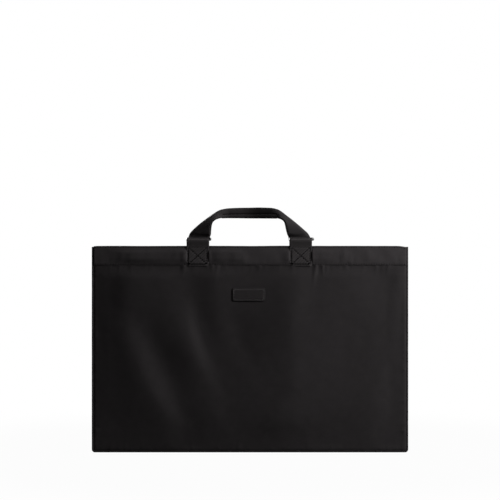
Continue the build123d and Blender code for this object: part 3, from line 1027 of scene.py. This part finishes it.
def make_interior():
    """Linings, slip pocket and the hidden padding and boards."""
    for side, word in ((-1, "front"), (1, "rear")):
        node = f"{word}_lining"
        lo, hi = corners(node)
        y = hi[1] if side < 0 else lo[1]
        span = ((lo[0], y, lo[2]), (hi[0], y, hi[2] - 20))
        inward = (0, -side, 0)
        made, size = cloth_plate(f"{word}_lining_cloth", span, (110, 72), inward, wave=0.25, seed=71 + side)
        fit_lining(node, made, size, 0.45)
    for end, word in ((-1, "left"), (1, "right")):
        node = f"{word}_side_lining"
        lo, hi = corners(node)
        x = hi[0] if end < 0 else lo[0]
        span = ((x, lo[1], lo[2]), (x, hi[1], hi[2]))
        made, size = cloth_plate(f"{word}_lining_cloth", span, (8, 80), (-end, 0, 0), wave=0.15, seed=73)
        fit_lining(node, made, size, 0.4)
    lo, hi = corners("base_lining")
    span = ((lo[0], lo[1], hi[2]), (hi[0], hi[1], hi[2]))
    made, size = cloth_plate("base_lining_cloth", span, (100, 8), (0, 0, 1), wave=0.1, seed=74)
    fit_lining("base_lining", made, size, 0.4)
    make_pocket()
    padding, board = foam_finish(), board_finish()
    for word in ("front", "rear"):
        make_layer(f"{word}_foam", padding, "foam")
        make_layer(f"{word}_board", board, "board")
    dress_node("base_board", board)


# ------------------------------------------------------------------ webbing
def strap(path, normals, centre, width, thickness, dips):
    """A webbing strip along a path in Y and Z, its width along X, with rounded selvedges.

    The function dips says how far its outer face is pressed in. Returns points, faces, and places on
    the flat strip.
    """
    half, rim = width / 2, thickness * 0.45
    columns = 64
    across = np.r_[-half, np.linspace(-half + rim, half - rim, columns - 2), half]
    swell = np.r_[0.25, np.full(columns - 2, 0.5), 0.25] * thickness
    far = np.r_[0, np.cumsum(np.linalg.norm(np.diff(path, axis=0), axis=1))]
    front = np.empty((len(path), columns, 3))
    back = np.empty_like(front)
    for grid, sign in ((front, 1), (back, -1)):
        grid[..., 0] = centre + across[None]
        for k in (0, 1):
            grid[..., k + 1] = path[:, k : k + 1] + sign * normals[:, k : k + 1] * swell[None]
    dent = dips(front[..., 0] - centre, front[..., 2], far[:, None])
    for k in (0, 1):
        front[..., k + 1] -= normals[:, k : k + 1] * dent
    around = np.concatenate([front, back[:, ::-1]], 1)
    u = np.r_[across + half, (across + half)[::-1]]
    uv = np.stack(np.broadcast_arrays(u[None], far[:, None]), -1)
    return around, closed_tube(len(path), 2 * columns, inward=True), uv


def path_normals(path):
    """Directions across a path in a plane, to its left."""
    run = np.gradient(path, axis=0)
    run /= np.maximum(np.linalg.norm(run, axis=1), 1e-9)[:, None]
    return np.stack([-run[:, 1], run[:, 0]], 1)


def box_stitch_lines(centre):
    """The box and its cross on a tab, as lines in X and Z."""
    inset = 3.4
    x0, x1 = centre - TAB_WIDTH / 2 + inset, centre + TAB_WIDTH / 2 - inset
    z0, z1 = HEM_ROWS
    box = [((x0, z0), (x1, z0)), ((x1, z0), (x1, z1)), ((x1, z1), (x0, z1)), ((x0, z1), (x0, z0))]
    return box + [((x0, z0), (x1, z1)), ((x0, z1), (x1, z0))]


def line_distance(x, z, line):
    """Distance of places in a plane from a straight line between two ends."""
    (x0, z0), (x1, z1) = line
    run = np.array([x1 - x0, z1 - z0])
    share = np.clip(((x - x0) * run[0] + (z - z0) * run[1]) / (run @ run), 0, 1)
    return np.hypot(x - x0 - share * run[0], z - z0 - share * run[1])


def make_tab(side, end):
    """A webbing tab: up the hem, over the ring's bar and down again, sewn with a box and a cross."""
    word = f"{'front' if side < 0 else 'rear'}_{'left' if end < 0 else 'right'}"
    centre = end * TAB_X + SEWN_OFF
    y, z = abs(RING_BAR[1]), RING_BAR[2]
    # The inner and outer layer against the hem, and the loop round the bar, loose on its outer side.
    under, cover = y - STRAP / 2, y + STRAP / 2
    middle, loose = BAR_HOLE + STRAP / 2, 4.3
    foot = TAB_FOOT - 0.2
    inner = [(under, foot + 0.6), (under, HEM_TOP - 5), (under - 0.2, HEM_TOP), (y - middle + 0.5, z - 4.4)]
    over = []
    for a in np.linspace(0, math.pi, 24):
        reach = middle if a < math.pi / 2 else loose
        over.append((y - reach * math.cos(a), z + middle * math.sin(a)))
    outer = [(y + loose - 0.5, z - 2.6), (cover + 0.25, HEM_TOP), (cover - 0.1, HEM_TOP - 4)]
    outer += [(cover, HEM_TOP - 12), (cover, foot + 6.5), (cover - 0.5, foot + 3.4)]
    outer += [(cover - 1.2, foot + 1.2), (cover - 1.6, foot)]
    path = along(inner + over + outer, 0.8)
    lines = box_stitch_lines(centre)

    def dips(x, height, far):
        dent = 0 * x
        for line in lines:
            away = line_distance(x + centre, height, line)
            dent = np.maximum(dent, 0.5 * np.exp(-((away / 1.1) ** 2)))
        return dent * (far > far[-1, 0] / 2) - 0.12 * noise(x + 50 * end, height, 6, 81)

    points, faces, uv = strap(path, path_normals(path), centre, TAB_WIDTH, STRAP, dips)
    sewn = ease((HEM_TOP - points[..., 2]) / 12)
    points[..., 0] += sewn * (0.02 * (points[..., 0] - centre) - 0.45)
    rolled = 0.5 * sewn + 0.6 * ease((foot + 9 - points[..., 2]) / 6)
    rolled *= ease((np.abs(points[..., 0] - centre) - 15) / 5)
    points[..., 1] = outward(side, points[..., 1] - TAB_SINK * sewn - rolled)
    if side < 0:
        faces = [f[::-1] for f in faces]
    piece = mesh_piece(f"{word}_tab_webbing", points, faces, webbing_finish(), "webbing", uv)
    face = outward(side, y + STRAP - 0.3 - TAB_SINK)
    pitch = bpy.context.scene.case_cloth.stitch / MM
    rows = []
    for (x0, z0), (x1, z1) in lines:
        line = [(x0, face, z0), (x1, face, z1)]
        # The near-black beads are partly thread and partly painted shade of the grooves the stitches press
        # into the webbing.
        rows.append(thread_beads(line, (0, side, 0), radius=0.7, pitch=pitch, gap=0.42))
    thread = mesh_piece(f"{word}_tab_thread", *join_meshes(rows), thread_finish(), "thread")
    picks = []
    rim = outward(side, y + STRAP - 0.75 - TAB_SINK)
    for edge in (-1, 1):
        x = centre - 0.45 + edge * (TAB_WIDTH / 2 - 0.1)
        line = [(x, rim, foot + 6), (x, rim, HEM_TOP - 9)]
        picks.append(thread_beads(line, (0, side, 0), radius=0.45, pitch=2.3, gap=0.4))
    selvedge = mesh_piece(f"{word}_tab_selvedge", *join_meshes(picks), selvedge_finish(), "webbing")
    for part in (piece, thread, selvedge):
        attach(part, "case")
    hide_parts(f"{word}_tab")
    return thread


# Stations of half a handle from its middle to the ring: outer edge x, height, inner edge x, height,
# thickness, and how far the strip stands forward of the handle's plane.
HANDLE_STATIONS = (
    (0, 54.4, 0, 36.2, 4.6, -3.4),
    (10, 54.4, 10, 36.2, 4.6, -2.8),
    (20, 54.2, 20, 36.2, 4.6, -1.4),
    (38, 53.1, 38, 36.0, 4.6, 1.2),
    (46, 51.7, 45, 35.8, 4.4, 2.8),
    (52, 49.8, 49.6, 35.4, 3.8, 4.8),
    (58, 46.7, 54, 34.6, 2.8, 7.2),
    (67, 40.0, 60.5, 32.2, 2.3, 9.8),
    (77, 32.5, 65.0, 27.9, 2.2, 10.6),
    (87, 24.5, 66.9, 22.5, 2.2, 9.8),
    (96, 16.8, 67.8, 17.0, 2.2, 8.0),
    (102.4, 11.0, 68.7, 11.4, 2.2, 6.0),
    (105.4, 7.4, 69.3, 7.6, 2.3, 4.2),
    (107.0, 4.2, 69.6, 4.4, 2.4, 1.6),
    (107.8, 1.5, 69.8, 1.5, 2.4, -0.6),
)
# Share of the strip's half that is folded into the grip, and where its seam runs across it.
GRIP_SHARE = 0.35
GRIP_SEAM = 0.62
# Half the length of the grip's straight part.
GRIP_HALF = 38
# Where the handle's eye round a ring's bar begins and ends, from the handle's middle.
EYE = (69.9, 107.9)


def handle_frame(side):
    """A function that puts handle places into the case's frame, with the handle leaning inward.

    A handle place is x, the height above the ring's bar, and the depth outward.
    """
    lean = math.radians(4.5)

    def place(x, height, out):
        y = abs(HANDLE_BAR[1]) + out * math.cos(lean) - height * math.sin(lean)
        z = HANDLE_BAR[2] + height * math.cos(lean) + out * math.sin(lean)
        return np.stack([np.asarray(x, float) + 0 * y, outward(side, y), z], -1)

    return place


def handle_sheet(side, share, t):
    """The strip's middle surface (x, height, depth) and thickness.

    The shares run along the strip from -1 to 1, and t across it from its outer edge, 0, to its inner, 1.
    """
    count = 111
    half = through(HANDLE_STATIONS, count)
    at = np.abs(share) * (count - 1)
    pick = lambda k: np.interp(at, np.arange(count), half[:, k])
    leg = ease((np.abs(share) - GRIP_SHARE + 0.03) / 0.14) * ease((1.0 - np.abs(share)) / 0.14)
    rise = 1.0 - np.abs(share)
    sag = side > 0
    inner_x = pick(2) - 1.5 * leg * sag
    inner_height = pick(3) - 0.6 * sag * (np.abs(share) < GRIP_SHARE)
    skew = SEWN_OFF - 1.5 * np.exp(-(((rise - 0.35) / 0.2) ** 2))
    x = np.sign(share) * (pick(0) * (1 - t) + inner_x * t) + skew
    height = pick(1) * (1 - t) + inner_height * t
    curl = (6.0 * (t - 0.5) - 2.0 * np.exp(-((t / 0.12) ** 2))) * leg
    # The grip turns a little to its left end, and its right half looks down.
    grip = 1 - ease((np.abs(x) - GRIP_HALF) / 28)
    turn = -side * 0.11 * np.clip(x, -GRIP_HALF, GRIP_HALF) * grip
    look_down = (0.1 + 0.2 * ease((x + 20) / 40)) * (0.5 - t) * 18 * grip
    # The rear grip hangs clear of the front one.
    clear = 5.5 * sag * grip
    return x, height - 0.08 * clear, pick(5) + curl + turn + look_down + clear, pick(4)


def handle_eye(place, end):
    """The webbing's loop round a ring's bar: a sleeve with rounded rims, and its flat places."""
    turn = np.linspace(0, 2 * math.pi, 40, endpoint=False)
    rim, face, columns = 2.2, 2.5, 12
    x0, x1 = sorted((end * EYE[0] + SEWN_OFF, end * EYE[1] + SEWN_OFF))
    cross = np.r_[x0, np.linspace(x0 + 0.5, x1 - 0.5, columns), x1]
    shells = []
    for radius in (np.r_[rim, np.full(columns, face), rim], np.full(columns + 2, BAR_HOLE)):
        height, out = np.outer(np.cos(turn), radius), np.outer(np.sin(turn), radius)
        shells.append(place(np.broadcast_to(cross[None], height.shape), height, out))
    sleeve = np.concatenate([shells[0], shells[1][:, ::-1]], 1)
    flat = np.stack(np.broadcast_arrays(np.r_[cross, cross[::-1]][None], turn[:, None] * rim), -1)
    return sleeve, flat


def make_handle(side):
    """One strip of webbing: an eye round each ring, two flared legs, and a grip folded in half and sewn."""
    word = "front" if side < 0 else "rear"
    place = handle_frame(side)
    share = np.linspace(-1, 1, 281)[:, None]
    t = np.linspace(0, 1, 31)[None]
    x, height, middle, thick = handle_sheet(side, share, t)
    grip = 1 - ease((np.abs(share) - GRIP_SHARE + 0.05) / 0.04)
    rim = np.clip(1 - np.abs(2 * t - 1) ** 6, 0, 1) ** 0.5
    edge = 0.5 * thick * (0.3 + 0.7 * rim)
    seam = np.exp(-(((t - GRIP_SEAM) / 0.05) ** 2))
    over_lobe = np.where(t < GRIP_SEAM, t / GRIP_SEAM, (t - GRIP_SEAM) / (1 - GRIP_SEAM))
    lobes = 0.7 * np.abs(np.sin(math.pi * over_lobe)) - 0.3
    rough = 0.06 * noise(x, height, 7, 91 + side) + 0.16 * noise(x, height, 19, 93 + side)
    front = middle + edge + grip * (lobes - 1.1 * seam) + rough
    back = middle - edge - grip * 0.2 * lobes + rough
    around = np.concatenate([place(x, height, front), place(x, height, back)[:, ::-1]], 1)
    faces = closed_tube(*around.shape[:2], inward=side < 0)
    flat_u = np.r_[t[0], t[0][::-1]] * TAB_WIDTH
    uv = np.stack(np.broadcast_arrays(flat_u[None], share * 150), -1)
    # Painted shade: the handle's webbing is the tabs' webbing darkened to 0.7, for the grip and legs that the
    # light reaches less.
    finish = webbing_finish("Handle webbing with painted shade", shade=0.7)
    strip = mesh_piece(f"{word}_handle_webbing", around, faces, finish, "webbing", uv)
    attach(strip, f"{word}_handle")
    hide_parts(f"{word}_handle")
    for end, end_word in ((-1, "left"), (1, "right")):
        sleeve, flat = handle_eye(place, end)
        faces = lattice(*sleeve.shape[:2], wrap_rows=True, wrap_columns=True)
        faces = faces[:, ::-1] if side < 0 else faces
        eye = mesh_piece(f"{word}_{end_word}_handle_eye", sleeve, faces, finish, "webbing", flat)
        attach(eye, f"{word}_handle")
    rows = {"thread": [], "selvedge": []}
    s = np.linspace(-0.31, 0.31, 80)
    for kind, across, out in (("selvedge", 0.06, 1.7), ("thread", GRIP_SEAM, 1.35), ("selvedge", 0.94, 1.7)):
        x, height, middle, _ = handle_sheet(side, s, np.full(len(s), across))
        line = place(x, height, middle + out)
        rows[kind].append(thread_beads(line, (0, side, 0), radius=0.4, pitch=3.5, gap=0.4))
    # The seam's near-black thread is partly the thread's own colour and partly painted shade of the seam's
    # groove.
    thread = mesh_piece(f"{word}_handle_thread", *join_meshes(rows["thread"]), thread_finish(), "thread")
    picks = join_meshes(rows["selvedge"])
    selvedge = mesh_piece(f"{word}_handle_selvedge", *picks, selvedge_finish(), "webbing")
    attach(thread, f"{word}_handle")
    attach(selvedge, f"{word}_handle")
    # Each soft piece of the handle gets a mesh of its own.
    for soft in (strip, thread, selvedge):
        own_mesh(soft)


# ------------------------------------------------------------------ label and zip
def rounded(width, height, radius, count=7):
    """Outline of a rectangle with round corners, counter-clockwise."""
    points = []
    for k, (sx, sz) in enumerate(((1, 1), (-1, 1), (-1, -1), (1, -1))):
        x, z = sx * (width / 2 - radius), sz * (height / 2 - radius)
        for a in np.linspace(0, math.pi / 2, count):
            angle = a + k * math.pi / 2
            points.append((x + radius * math.cos(angle), z + radius * math.sin(angle)))
    return np.array(points)


# The label's section from its edge inward: inset, and height above the wall on a patch 1.6 thick.
LABEL_SECTION = (
    (0.0, -0.4),
    (0.0, 0.7),
    (0.12, 1.2),
    (0.45, 1.5),
    (1.0, 1.58),
    (1.7, 1.5),
    (2.1, 1.15),
    (2.4, 1.05),
    (2.7, 1.15),
    (3.1, 1.5),
    (4.0, 1.6),
    (6.0, 1.62),
    (9.0, 1.66),
)
LABEL_THICK = 1.6


def make_label():
    """Blank leather patch: a skived edge, a pressed stitch channel and a slightly cushioned middle."""
    lo, hi = corners("label_patch")
    width, height = hi[0] - lo[0], hi[2] - lo[2]
    centre, base = (hi[2] + lo[2]) / 2, -hi[1]
    scale = (hi[1] - lo[1]) / LABEL_THICK
    rings = []
    for inset, lift in LABEL_SECTION:
        size = min(width, height) - 2 * inset
        radius = min(max(2.6 - inset, 0.5), size / 2 - 0.01)
        outline = rounded(width - 2 * inset, height - 2 * inset, radius)
        y = np.full(len(outline), outward(-1, base + lift * scale))
        rings.append(np.stack([outline[:, 0] + LABEL_OFF, y, outline[:, 1] + centre], 1))
    grid = np.array(rings)
    faces = closed_tube(*grid.shape[:2], inward=True)
    x, z = grid[..., 0], grid[..., 2]
    grid[..., 1] += 0.06 * noise(x, z, 6, 95) - broad_relief(x, z, FRONT_FOLDS)
    patch = mesh_piece("label_leather_patch", grid, faces, leather_finish(), "label_leather")
    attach(patch, "case")
    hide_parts("label_patch")
    # The stitches lie in the channel, and between them dark beads of thread colour paint the shade of the
    # needle holes.
    channel, pitch = 2.4, 4.4
    line = rounded(width - 2 * channel, height - 2 * channel, 0.8)
    line = along(np.vstack([line, line[:1]]), 2.0)
    x, z = line[:, 0] + LABEL_OFF, line[:, 1] + centre
    y = outward(-1, base + 1.3 * scale + broad_relief(x, z, FRONT_FOLDS))
    points = np.stack([x, y, z], 1)
    beads = thread_beads(points, (0, -1, 0), radius=0.58, pitch=pitch, gap=0.48)
    thread = mesh_piece("label_thread", *beads, label_thread_finish(), "thread")
    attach(thread, "case")
    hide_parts("label_stitching")
    # Painted shade: these dark beads sit in the gaps between the stitches, where the needle holes' shade
    # falls.
    beads = thread_beads(points, (0, -1, 0), radius=0.5, pitch=pitch, gap=0.6, phase=0.5)
    holes = mesh_piece("label_needle_hole_shade", *beads, thread_finish("Painted needle hole shade"), "thread")
    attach(holes, "case")


def tooth(length, width, height):
    """One turn of the zip's coil, lying across the tape: a rounded bar."""
    ring = [(math.cos(a) / 2, math.sin(a) / 2) for a in np.linspace(0, 2 * math.pi, 8, endpoint=False)]
    stations = ((-0.5, 0.55), (-0.36, 0.95), (0.0, 1.0), (0.3, 1.0), (0.45, 0.8), (0.5, 0.45))
    points = []
    for share, size in stations:
        points += [(x * length * size, share * width, z * height * size) for x, z in ring]
    return np.array(points), closed_tube(len(stations), len(ring), inward=True)


def make_zip_half(side, start, stop, name, tape_edge):
    """Tape and coil of one half of the zip between two places along the case."""
    z = ZIP_HINGE[2]
    inner, thickness = 3.0, 0.56
    start, stop = sorted((start, stop))
    length = stop - start
    x = np.linspace(start, stop, max(2, int(length / 3)))
    across = np.linspace(inner - 1.2, tape_edge, 7)
    p, q = np.meshgrid(x, across, indexing="ij")
    lift = 0.08 * noise(p, q, 9, 97) * ease((tape_edge - q) / 2) * ease((q - inner) / 2)
    grid = np.stack([p, outward(side, q), z + thickness / 2 + lift], -1)
    faces = lattice(*p.shape)
    tape = mesh_piece(f"{name}_tape", grid, faces if side > 0 else faces[:, ::-1], tape_finish(), "zip_tape")
    thicken(tape, thickness)
    coil_pitch = 1.6
    count = int(length / coil_pitch)
    one, one_faces = tooth(length=1.25, width=2.2, height=2.2)
    one[:, 1] = outward(side, 1.9 - one[:, 1])
    if side < 0:
        one_faces = [f[::-1] for f in one_faces]
    places = start + (np.arange(count) + 0.5) * length / count
    coil = join_meshes([(one + (place, 0, z), one_faces) for place in places])
    finish = plastic_finish("Drawn coil plastic", (0.014, 0.014, 0.014), 0.4)
    teeth = mesh_piece(f"{name}_coil", *coil, finish, "zip_coil")
    return tape, teeth


def make_zip():
    """Halves of the zip and their fixed ends, end tabs, stops, slider and pull."""
    reach = high("front_zip_tape", 0)
    end_stop = high("zip_tape_ends", 0)
    hinge = abs(ZIP_HINGE[1])
    ends = []
    for side, word in ((-1, "front"), (1, "rear")):
        made = []
        for end, hand in ((-1, "left"), (1, "right")):
            name = f"{word}_{hand}_zip"
            made.append(make_zip_half(side, 0, end * reach, name, hinge))
            held, free = (end * reach * MM, 0, 0), (end * 0.16 * reach * MM, 0, 0)
            for part in made[-1]:
                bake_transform(part)
                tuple(held)
                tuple(free)
            fixed = make_zip_half(side, end * (reach + 0.2), end * end_stop, f"{name}_end", HEM_BACK + 0.05)
            ends.append(fixed)
        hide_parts(f"{word}_zip_tape")
        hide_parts(f"{word}_zip_coil")
    for tape, teeth in ends:
        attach(tape, "case")
        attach(teeth, "case")
    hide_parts("zip_tape_ends")
    make_zip_end_tabs(end_stop)
    metal = plated_finish("Satin black zinc", (0.016, 0.016, 0.017), 0.34)
    for node in ("zip_slider", "zip_pull", "zip_stops"):
        bevel_edges(dress_node(node, metal), 0.18)


def make_zip_end_tabs(end_stop):
    """The soft tabs of shell fabric that cover the zip's two ends."""
    lo, hi = corners("zip_end_tabs")
    middle = (lo[2] + hi[2]) / 2
    tabs = []
    for end in (-1, 1):
        x = np.linspace(end_stop + 0.1, hi[0], 9)
        y = np.linspace(lo[1], hi[1], 13)
        p, q = np.meshgrid(end * x, y, indexing="ij")
        puff = 0.75 * (1 - (np.abs(q) / hi[1]) ** 6) ** 0.5 * (0.55 + 0.45 * ease((np.abs(p) - end_stop) / 2))
        puff += 0.12 * noise(p, q, 5, 99)
        top, under = np.stack([p, q, middle + puff], -1), np.stack([p, q, middle - puff], -1)
        around = np.concatenate([top, under[:, ::-1]], 1)
        tabs.append((around, closed_tube(*around.shape[:2], inward=end < 0)))
    piece = mesh_piece("zip_end_tab_cloth", *join_meshes(tabs), side_cloth_finish(), "shell_fabric")
    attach(piece, "case")
    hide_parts("zip_end_tabs")


def bevel_edges(piece, width):
    """Eases the sharp edges of a small metal solid."""
    bevel = piece.modifiers.new("Eased edges", "BEVEL")
    bevel.width = width * MM
    bevel.segments = 2
    bevel.limit_method = "ANGLE"
    bevel.angle_limit = math.radians(40)
    bevel.harden_normals = True
    piece.data.shade_smooth()


# ------------------------------------------------------------------ operators
class CASE_OT_walls(bpy.types.Operator):
    """Drape the shell fabric over the front and rear walls"""

    bl_idname = "case.walls"
    bl_label = "Walls"

    def execute(self, context):
        for side in (-1, 1):
            make_wall(side)
        return {"FINISHED"}


class CASE_OT_hems(bpy.types.Operator):
    """Fold the hems over the walls and sew them"""

    bl_idname = "case.hems"
    bl_label = "Hems"

    def execute(self, context):
        for side in (-1, 1):
            make_hem(side)
            make_hem_stitches(side)
        return {"FINISHED"}


class CASE_OT_edges(bpy.types.Operator):
    """Run the piping round both walls and the gusset between them"""

    bl_idname = "case.edges"
    bl_label = "Piping and gusset"

    def execute(self, context):
        for side in (-1, 1):
            make_piping(side)
        make_gusset()
        return {"FINISHED"}


class CASE_OT_interior(bpy.types.Operator):
    """Line the case and give the hidden padding and boards their finish"""

    bl_idname = "case.interior"
    bl_label = "Interior"

    def execute(self, context):
        make_interior()
        return {"FINISHED"}


class CASE_OT_tabs(bpy.types.Operator):
    """Fold the four webbing tabs over their rings and sew them down"""

    bl_idname = "case.tabs"
    bl_label = "Tabs"

    def execute(self, context):
        for side, word in ((-1, "front"), (1, "rear")):
            threads = [make_tab(side, end) for end in (-1, 1)]
            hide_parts(f"{word}_tab_stitching")
        return {"FINISHED"}


class CASE_OT_rings(bpy.types.Operator):
    """Plate the four wire rings"""

    bl_idname = "case.rings"
    bl_label = "Rings"

    def execute(self, context):
        metal = plated_finish("Gloss black ring wire")
        for node in frame["nodes"]:
            if node.endswith("_ring"):
                dress_node(node, metal).data.shade_smooth()
        return {"FINISHED"}


class CASE_OT_handles(bpy.types.Operator):
    """Shape and sew the two webbing handles"""

    bl_idname = "case.handles"
    bl_label = "Handles"

    def execute(self, context):
        for side in (-1, 1):
            make_handle(side)
        return {"FINISHED"}


class CASE_OT_label(bpy.types.Operator):
    """Sew the blank leather patch on the front wall"""

    bl_idname = "case.label"
    bl_label = "Label patch"

    def execute(self, context):
        make_label()
        return {"FINISHED"}


class CASE_OT_zip(bpy.types.Operator):
    """Set the recessed zip between the hems"""

    bl_idname = "case.zip"
    bl_label = "Zip"

    def execute(self, context):
        make_zip()
        return {"FINISHED"}


class CASE_OT_stage(bpy.types.Operator):
    """Put up the floor, the lamps, the surroundings and the camera"""

    bl_idname = "case.stage"
    bl_label = "Stage"

    def execute(self, context):
        make_floor()
        make_surroundings(context.scene)
        make_lamps(context.scene)
        make_camera(context.scene)
        context.scene.view_settings.view_transform = "Standard"
        return {"FINISHED"}


def make_floor():
    """Plain white floor that keeps the object's shadow."""
    mesh = bpy.data.meshes.new("floor")
    mesh.from_pydata([(-9, -9, 0), (9, -9, 0), (9, 9, 0), (-9, 9, 0)], [], [(0, 1, 2, 3)])
    floor = bpy.data.objects.new("floor", mesh)
    bpy.context.scene.collection.objects.link(floor)
    material = bpy.data.materials.new("White studio floor")
    material.use_nodes = True
    tree = material.node_tree
    tree.nodes.clear()
    paint = tree.nodes.new("ShaderNodeBsdfDiffuse")
    paint.inputs["Color"].default_value = (0.12, 0.12, 0.12, 1)
    glow = tree.nodes.new("ShaderNodeEmission")
    glow.inputs["Strength"].default_value = 1.0
    path = tree.nodes.new("ShaderNodeLightPath")
    place = tree.nodes.new("ShaderNodeTexCoord")
    far = tree.nodes.new("ShaderNodeVectorMath")
    far.operation = "LENGTH"
    fade = tree.nodes.new("ShaderNodeMapRange")
    fade.interpolation_type = "SMOOTHSTEP"
    # Near the case a little of its shadow shows, and further off the floor is plain white.
    for socket, value in (("From Min", 0.45), ("From Max", 0.9), ("To Min", 0.97), ("To Max", 1.0)):
        fade.inputs[socket].default_value = value
    tree.links.new(place.outputs["Object"], far.inputs[0])
    tree.links.new(far.outputs["Value"], fade.inputs["Value"])
    share = tree.nodes.new("ShaderNodeMath")
    share.operation = "MULTIPLY"
    tree.links.new(fade.outputs[0], share.inputs[1])
    mix = tree.nodes.new("ShaderNodeMixShader")
    out = tree.nodes.new("ShaderNodeOutputMaterial")
    tree.links.new(path.outputs["Is Camera Ray"], share.inputs[0])
    tree.links.new(share.outputs[0], mix.inputs[0])
    tree.links.new(paint.outputs[0], mix.inputs[1])
    tree.links.new(glow.outputs[0], mix.inputs[2])
    tree.links.new(mix.outputs[0], out.inputs["Surface"])
    mesh.materials.append(material)


def make_surroundings(scene):
    """Soft even light from all round, and white where the camera, gloss or glass looks past the floor."""
    world = bpy.data.worlds.new("White studio")
    scene.world = world
    world.use_nodes = True
    tree = world.node_tree
    tree.nodes.clear()
    soft, white = tree.nodes.new("ShaderNodeBackground"), tree.nodes.new("ShaderNodeBackground")
    soft.inputs["Color"].default_value = (1, 1, 1, 1)
    soft.inputs["Strength"].default_value = 0.008
    white.inputs["Color"].default_value = (1, 1, 1, 1)
    path = tree.nodes.new("ShaderNodeLightPath")
    either = path.outputs["Is Camera Ray"]
    for name in ("Is Glossy Ray", "Is Transmission Ray"):
        most = tree.nodes.new("ShaderNodeMath")
        most.operation = "MAXIMUM"
        tree.links.new(either, most.inputs[0])
        tree.links.new(path.outputs[name], most.inputs[1])
        either = most.outputs[0]
    mix = tree.nodes.new("ShaderNodeMixShader")
    out = tree.nodes.new("ShaderNodeOutputWorld")
    tree.links.new(either, mix.inputs[0])
    tree.links.new(soft.outputs[0], mix.inputs[1])
    tree.links.new(white.outputs[0], mix.inputs[2])
    tree.links.new(mix.outputs[0], out.inputs["Surface"])


def make_lamps(scene):
    """A large soft lamp high on the right, and weaker ones above, on the left and behind."""
    target = Vector((0.05, 0, 0.2))
    for name, place, size, share in (
        ("key lamp", (1.05, -0.45, 0.75), 0.5, 1.0),
        ("top lamp", (0.0, -0.05, 1.3), 0.4, 0.12),
        ("left lamp", (-1.0, 0.3, 0.5), 0.5, 0.18),
        ("rear lamp", (-0.5, 1.2, 0.8), 0.5, 0.5),
    ):
        lamp = bpy.data.lights.new(name, "AREA")
        lamp.size = size
        lamp.energy = scene.case_studio.key * share
        made = bpy.data.objects.new(name, lamp)
        made.location = place
        made.rotation_euler = (target - Vector(place)).to_track_quat("-Z", "Y").to_euler()
        made.visible_camera = False
        scene.collection.objects.link(made)


def make_camera(scene):
    """A level camera straight in front."""
    studio = scene.case_studio
    camera = bpy.data.cameras.new("camera")
    camera.sensor_width = 36
    camera.lens = 36 * studio.distance / studio.width
    camera.clip_end = 50
    made = bpy.data.objects.new("camera", camera)
    made.location = (0, -HEM_FACE * MM - studio.distance, studio.eye)
    made.rotation_euler = (math.radians(90), 0, 0)
    scene.collection.objects.link(made)
    scene.camera = made


class CASE_PT_panel(bpy.types.Panel):
    """Builds the case piece by piece"""

    bl_idname = "CASE_PT_panel"
    bl_label = "Portfolio Case"
    bl_space_type = "VIEW_3D"
    bl_region_type = "UI"
    bl_category = "Portfolio Case"

    def draw(self, context):
        for group in (context.scene.case_cloth, context.scene.case_webbing, context.scene.case_studio):
            box = self.layout.box()
            for name in group.__annotations__:
                box.prop(group, name)
        for operator in OPERATORS:
            self.layout.operator(operator.bl_idname)


GROUPS = {"case_cloth": CaseCloth, "case_webbing": CaseWebbing, "case_studio": CaseStudio}
OPERATORS = (
    CASE_OT_walls,
    CASE_OT_hems,
    CASE_OT_edges,
    CASE_OT_interior,
    CASE_OT_tabs,
    CASE_OT_rings,
    CASE_OT_handles,
    CASE_OT_label,
    CASE_OT_zip,
    CASE_OT_stage,
)


def register():
    """Makes the property groups, the operators and the panel known."""
    for made in (*GROUPS.values(), *OPERATORS, CASE_PT_panel):
        bpy.utils.register_class(made)
    for name, group in GROUPS.items():
        setattr(bpy.types.Scene, name, PointerProperty(type=group))


def unregister():
    """Takes them away again."""
    for name in GROUPS:
        delattr(bpy.types.Scene, name)
    for made in reversed((*GROUPS.values(), *OPERATORS, CASE_PT_panel)):
        bpy.utils.unregister_class(made)


def main():
    """Builds the whole case."""
    register()
    for operator in OPERATORS:
        area, name = operator.bl_idname.split(".")
        getattr(getattr(bpy.ops, area), name)()


if __name__ == "__main__":
    main()
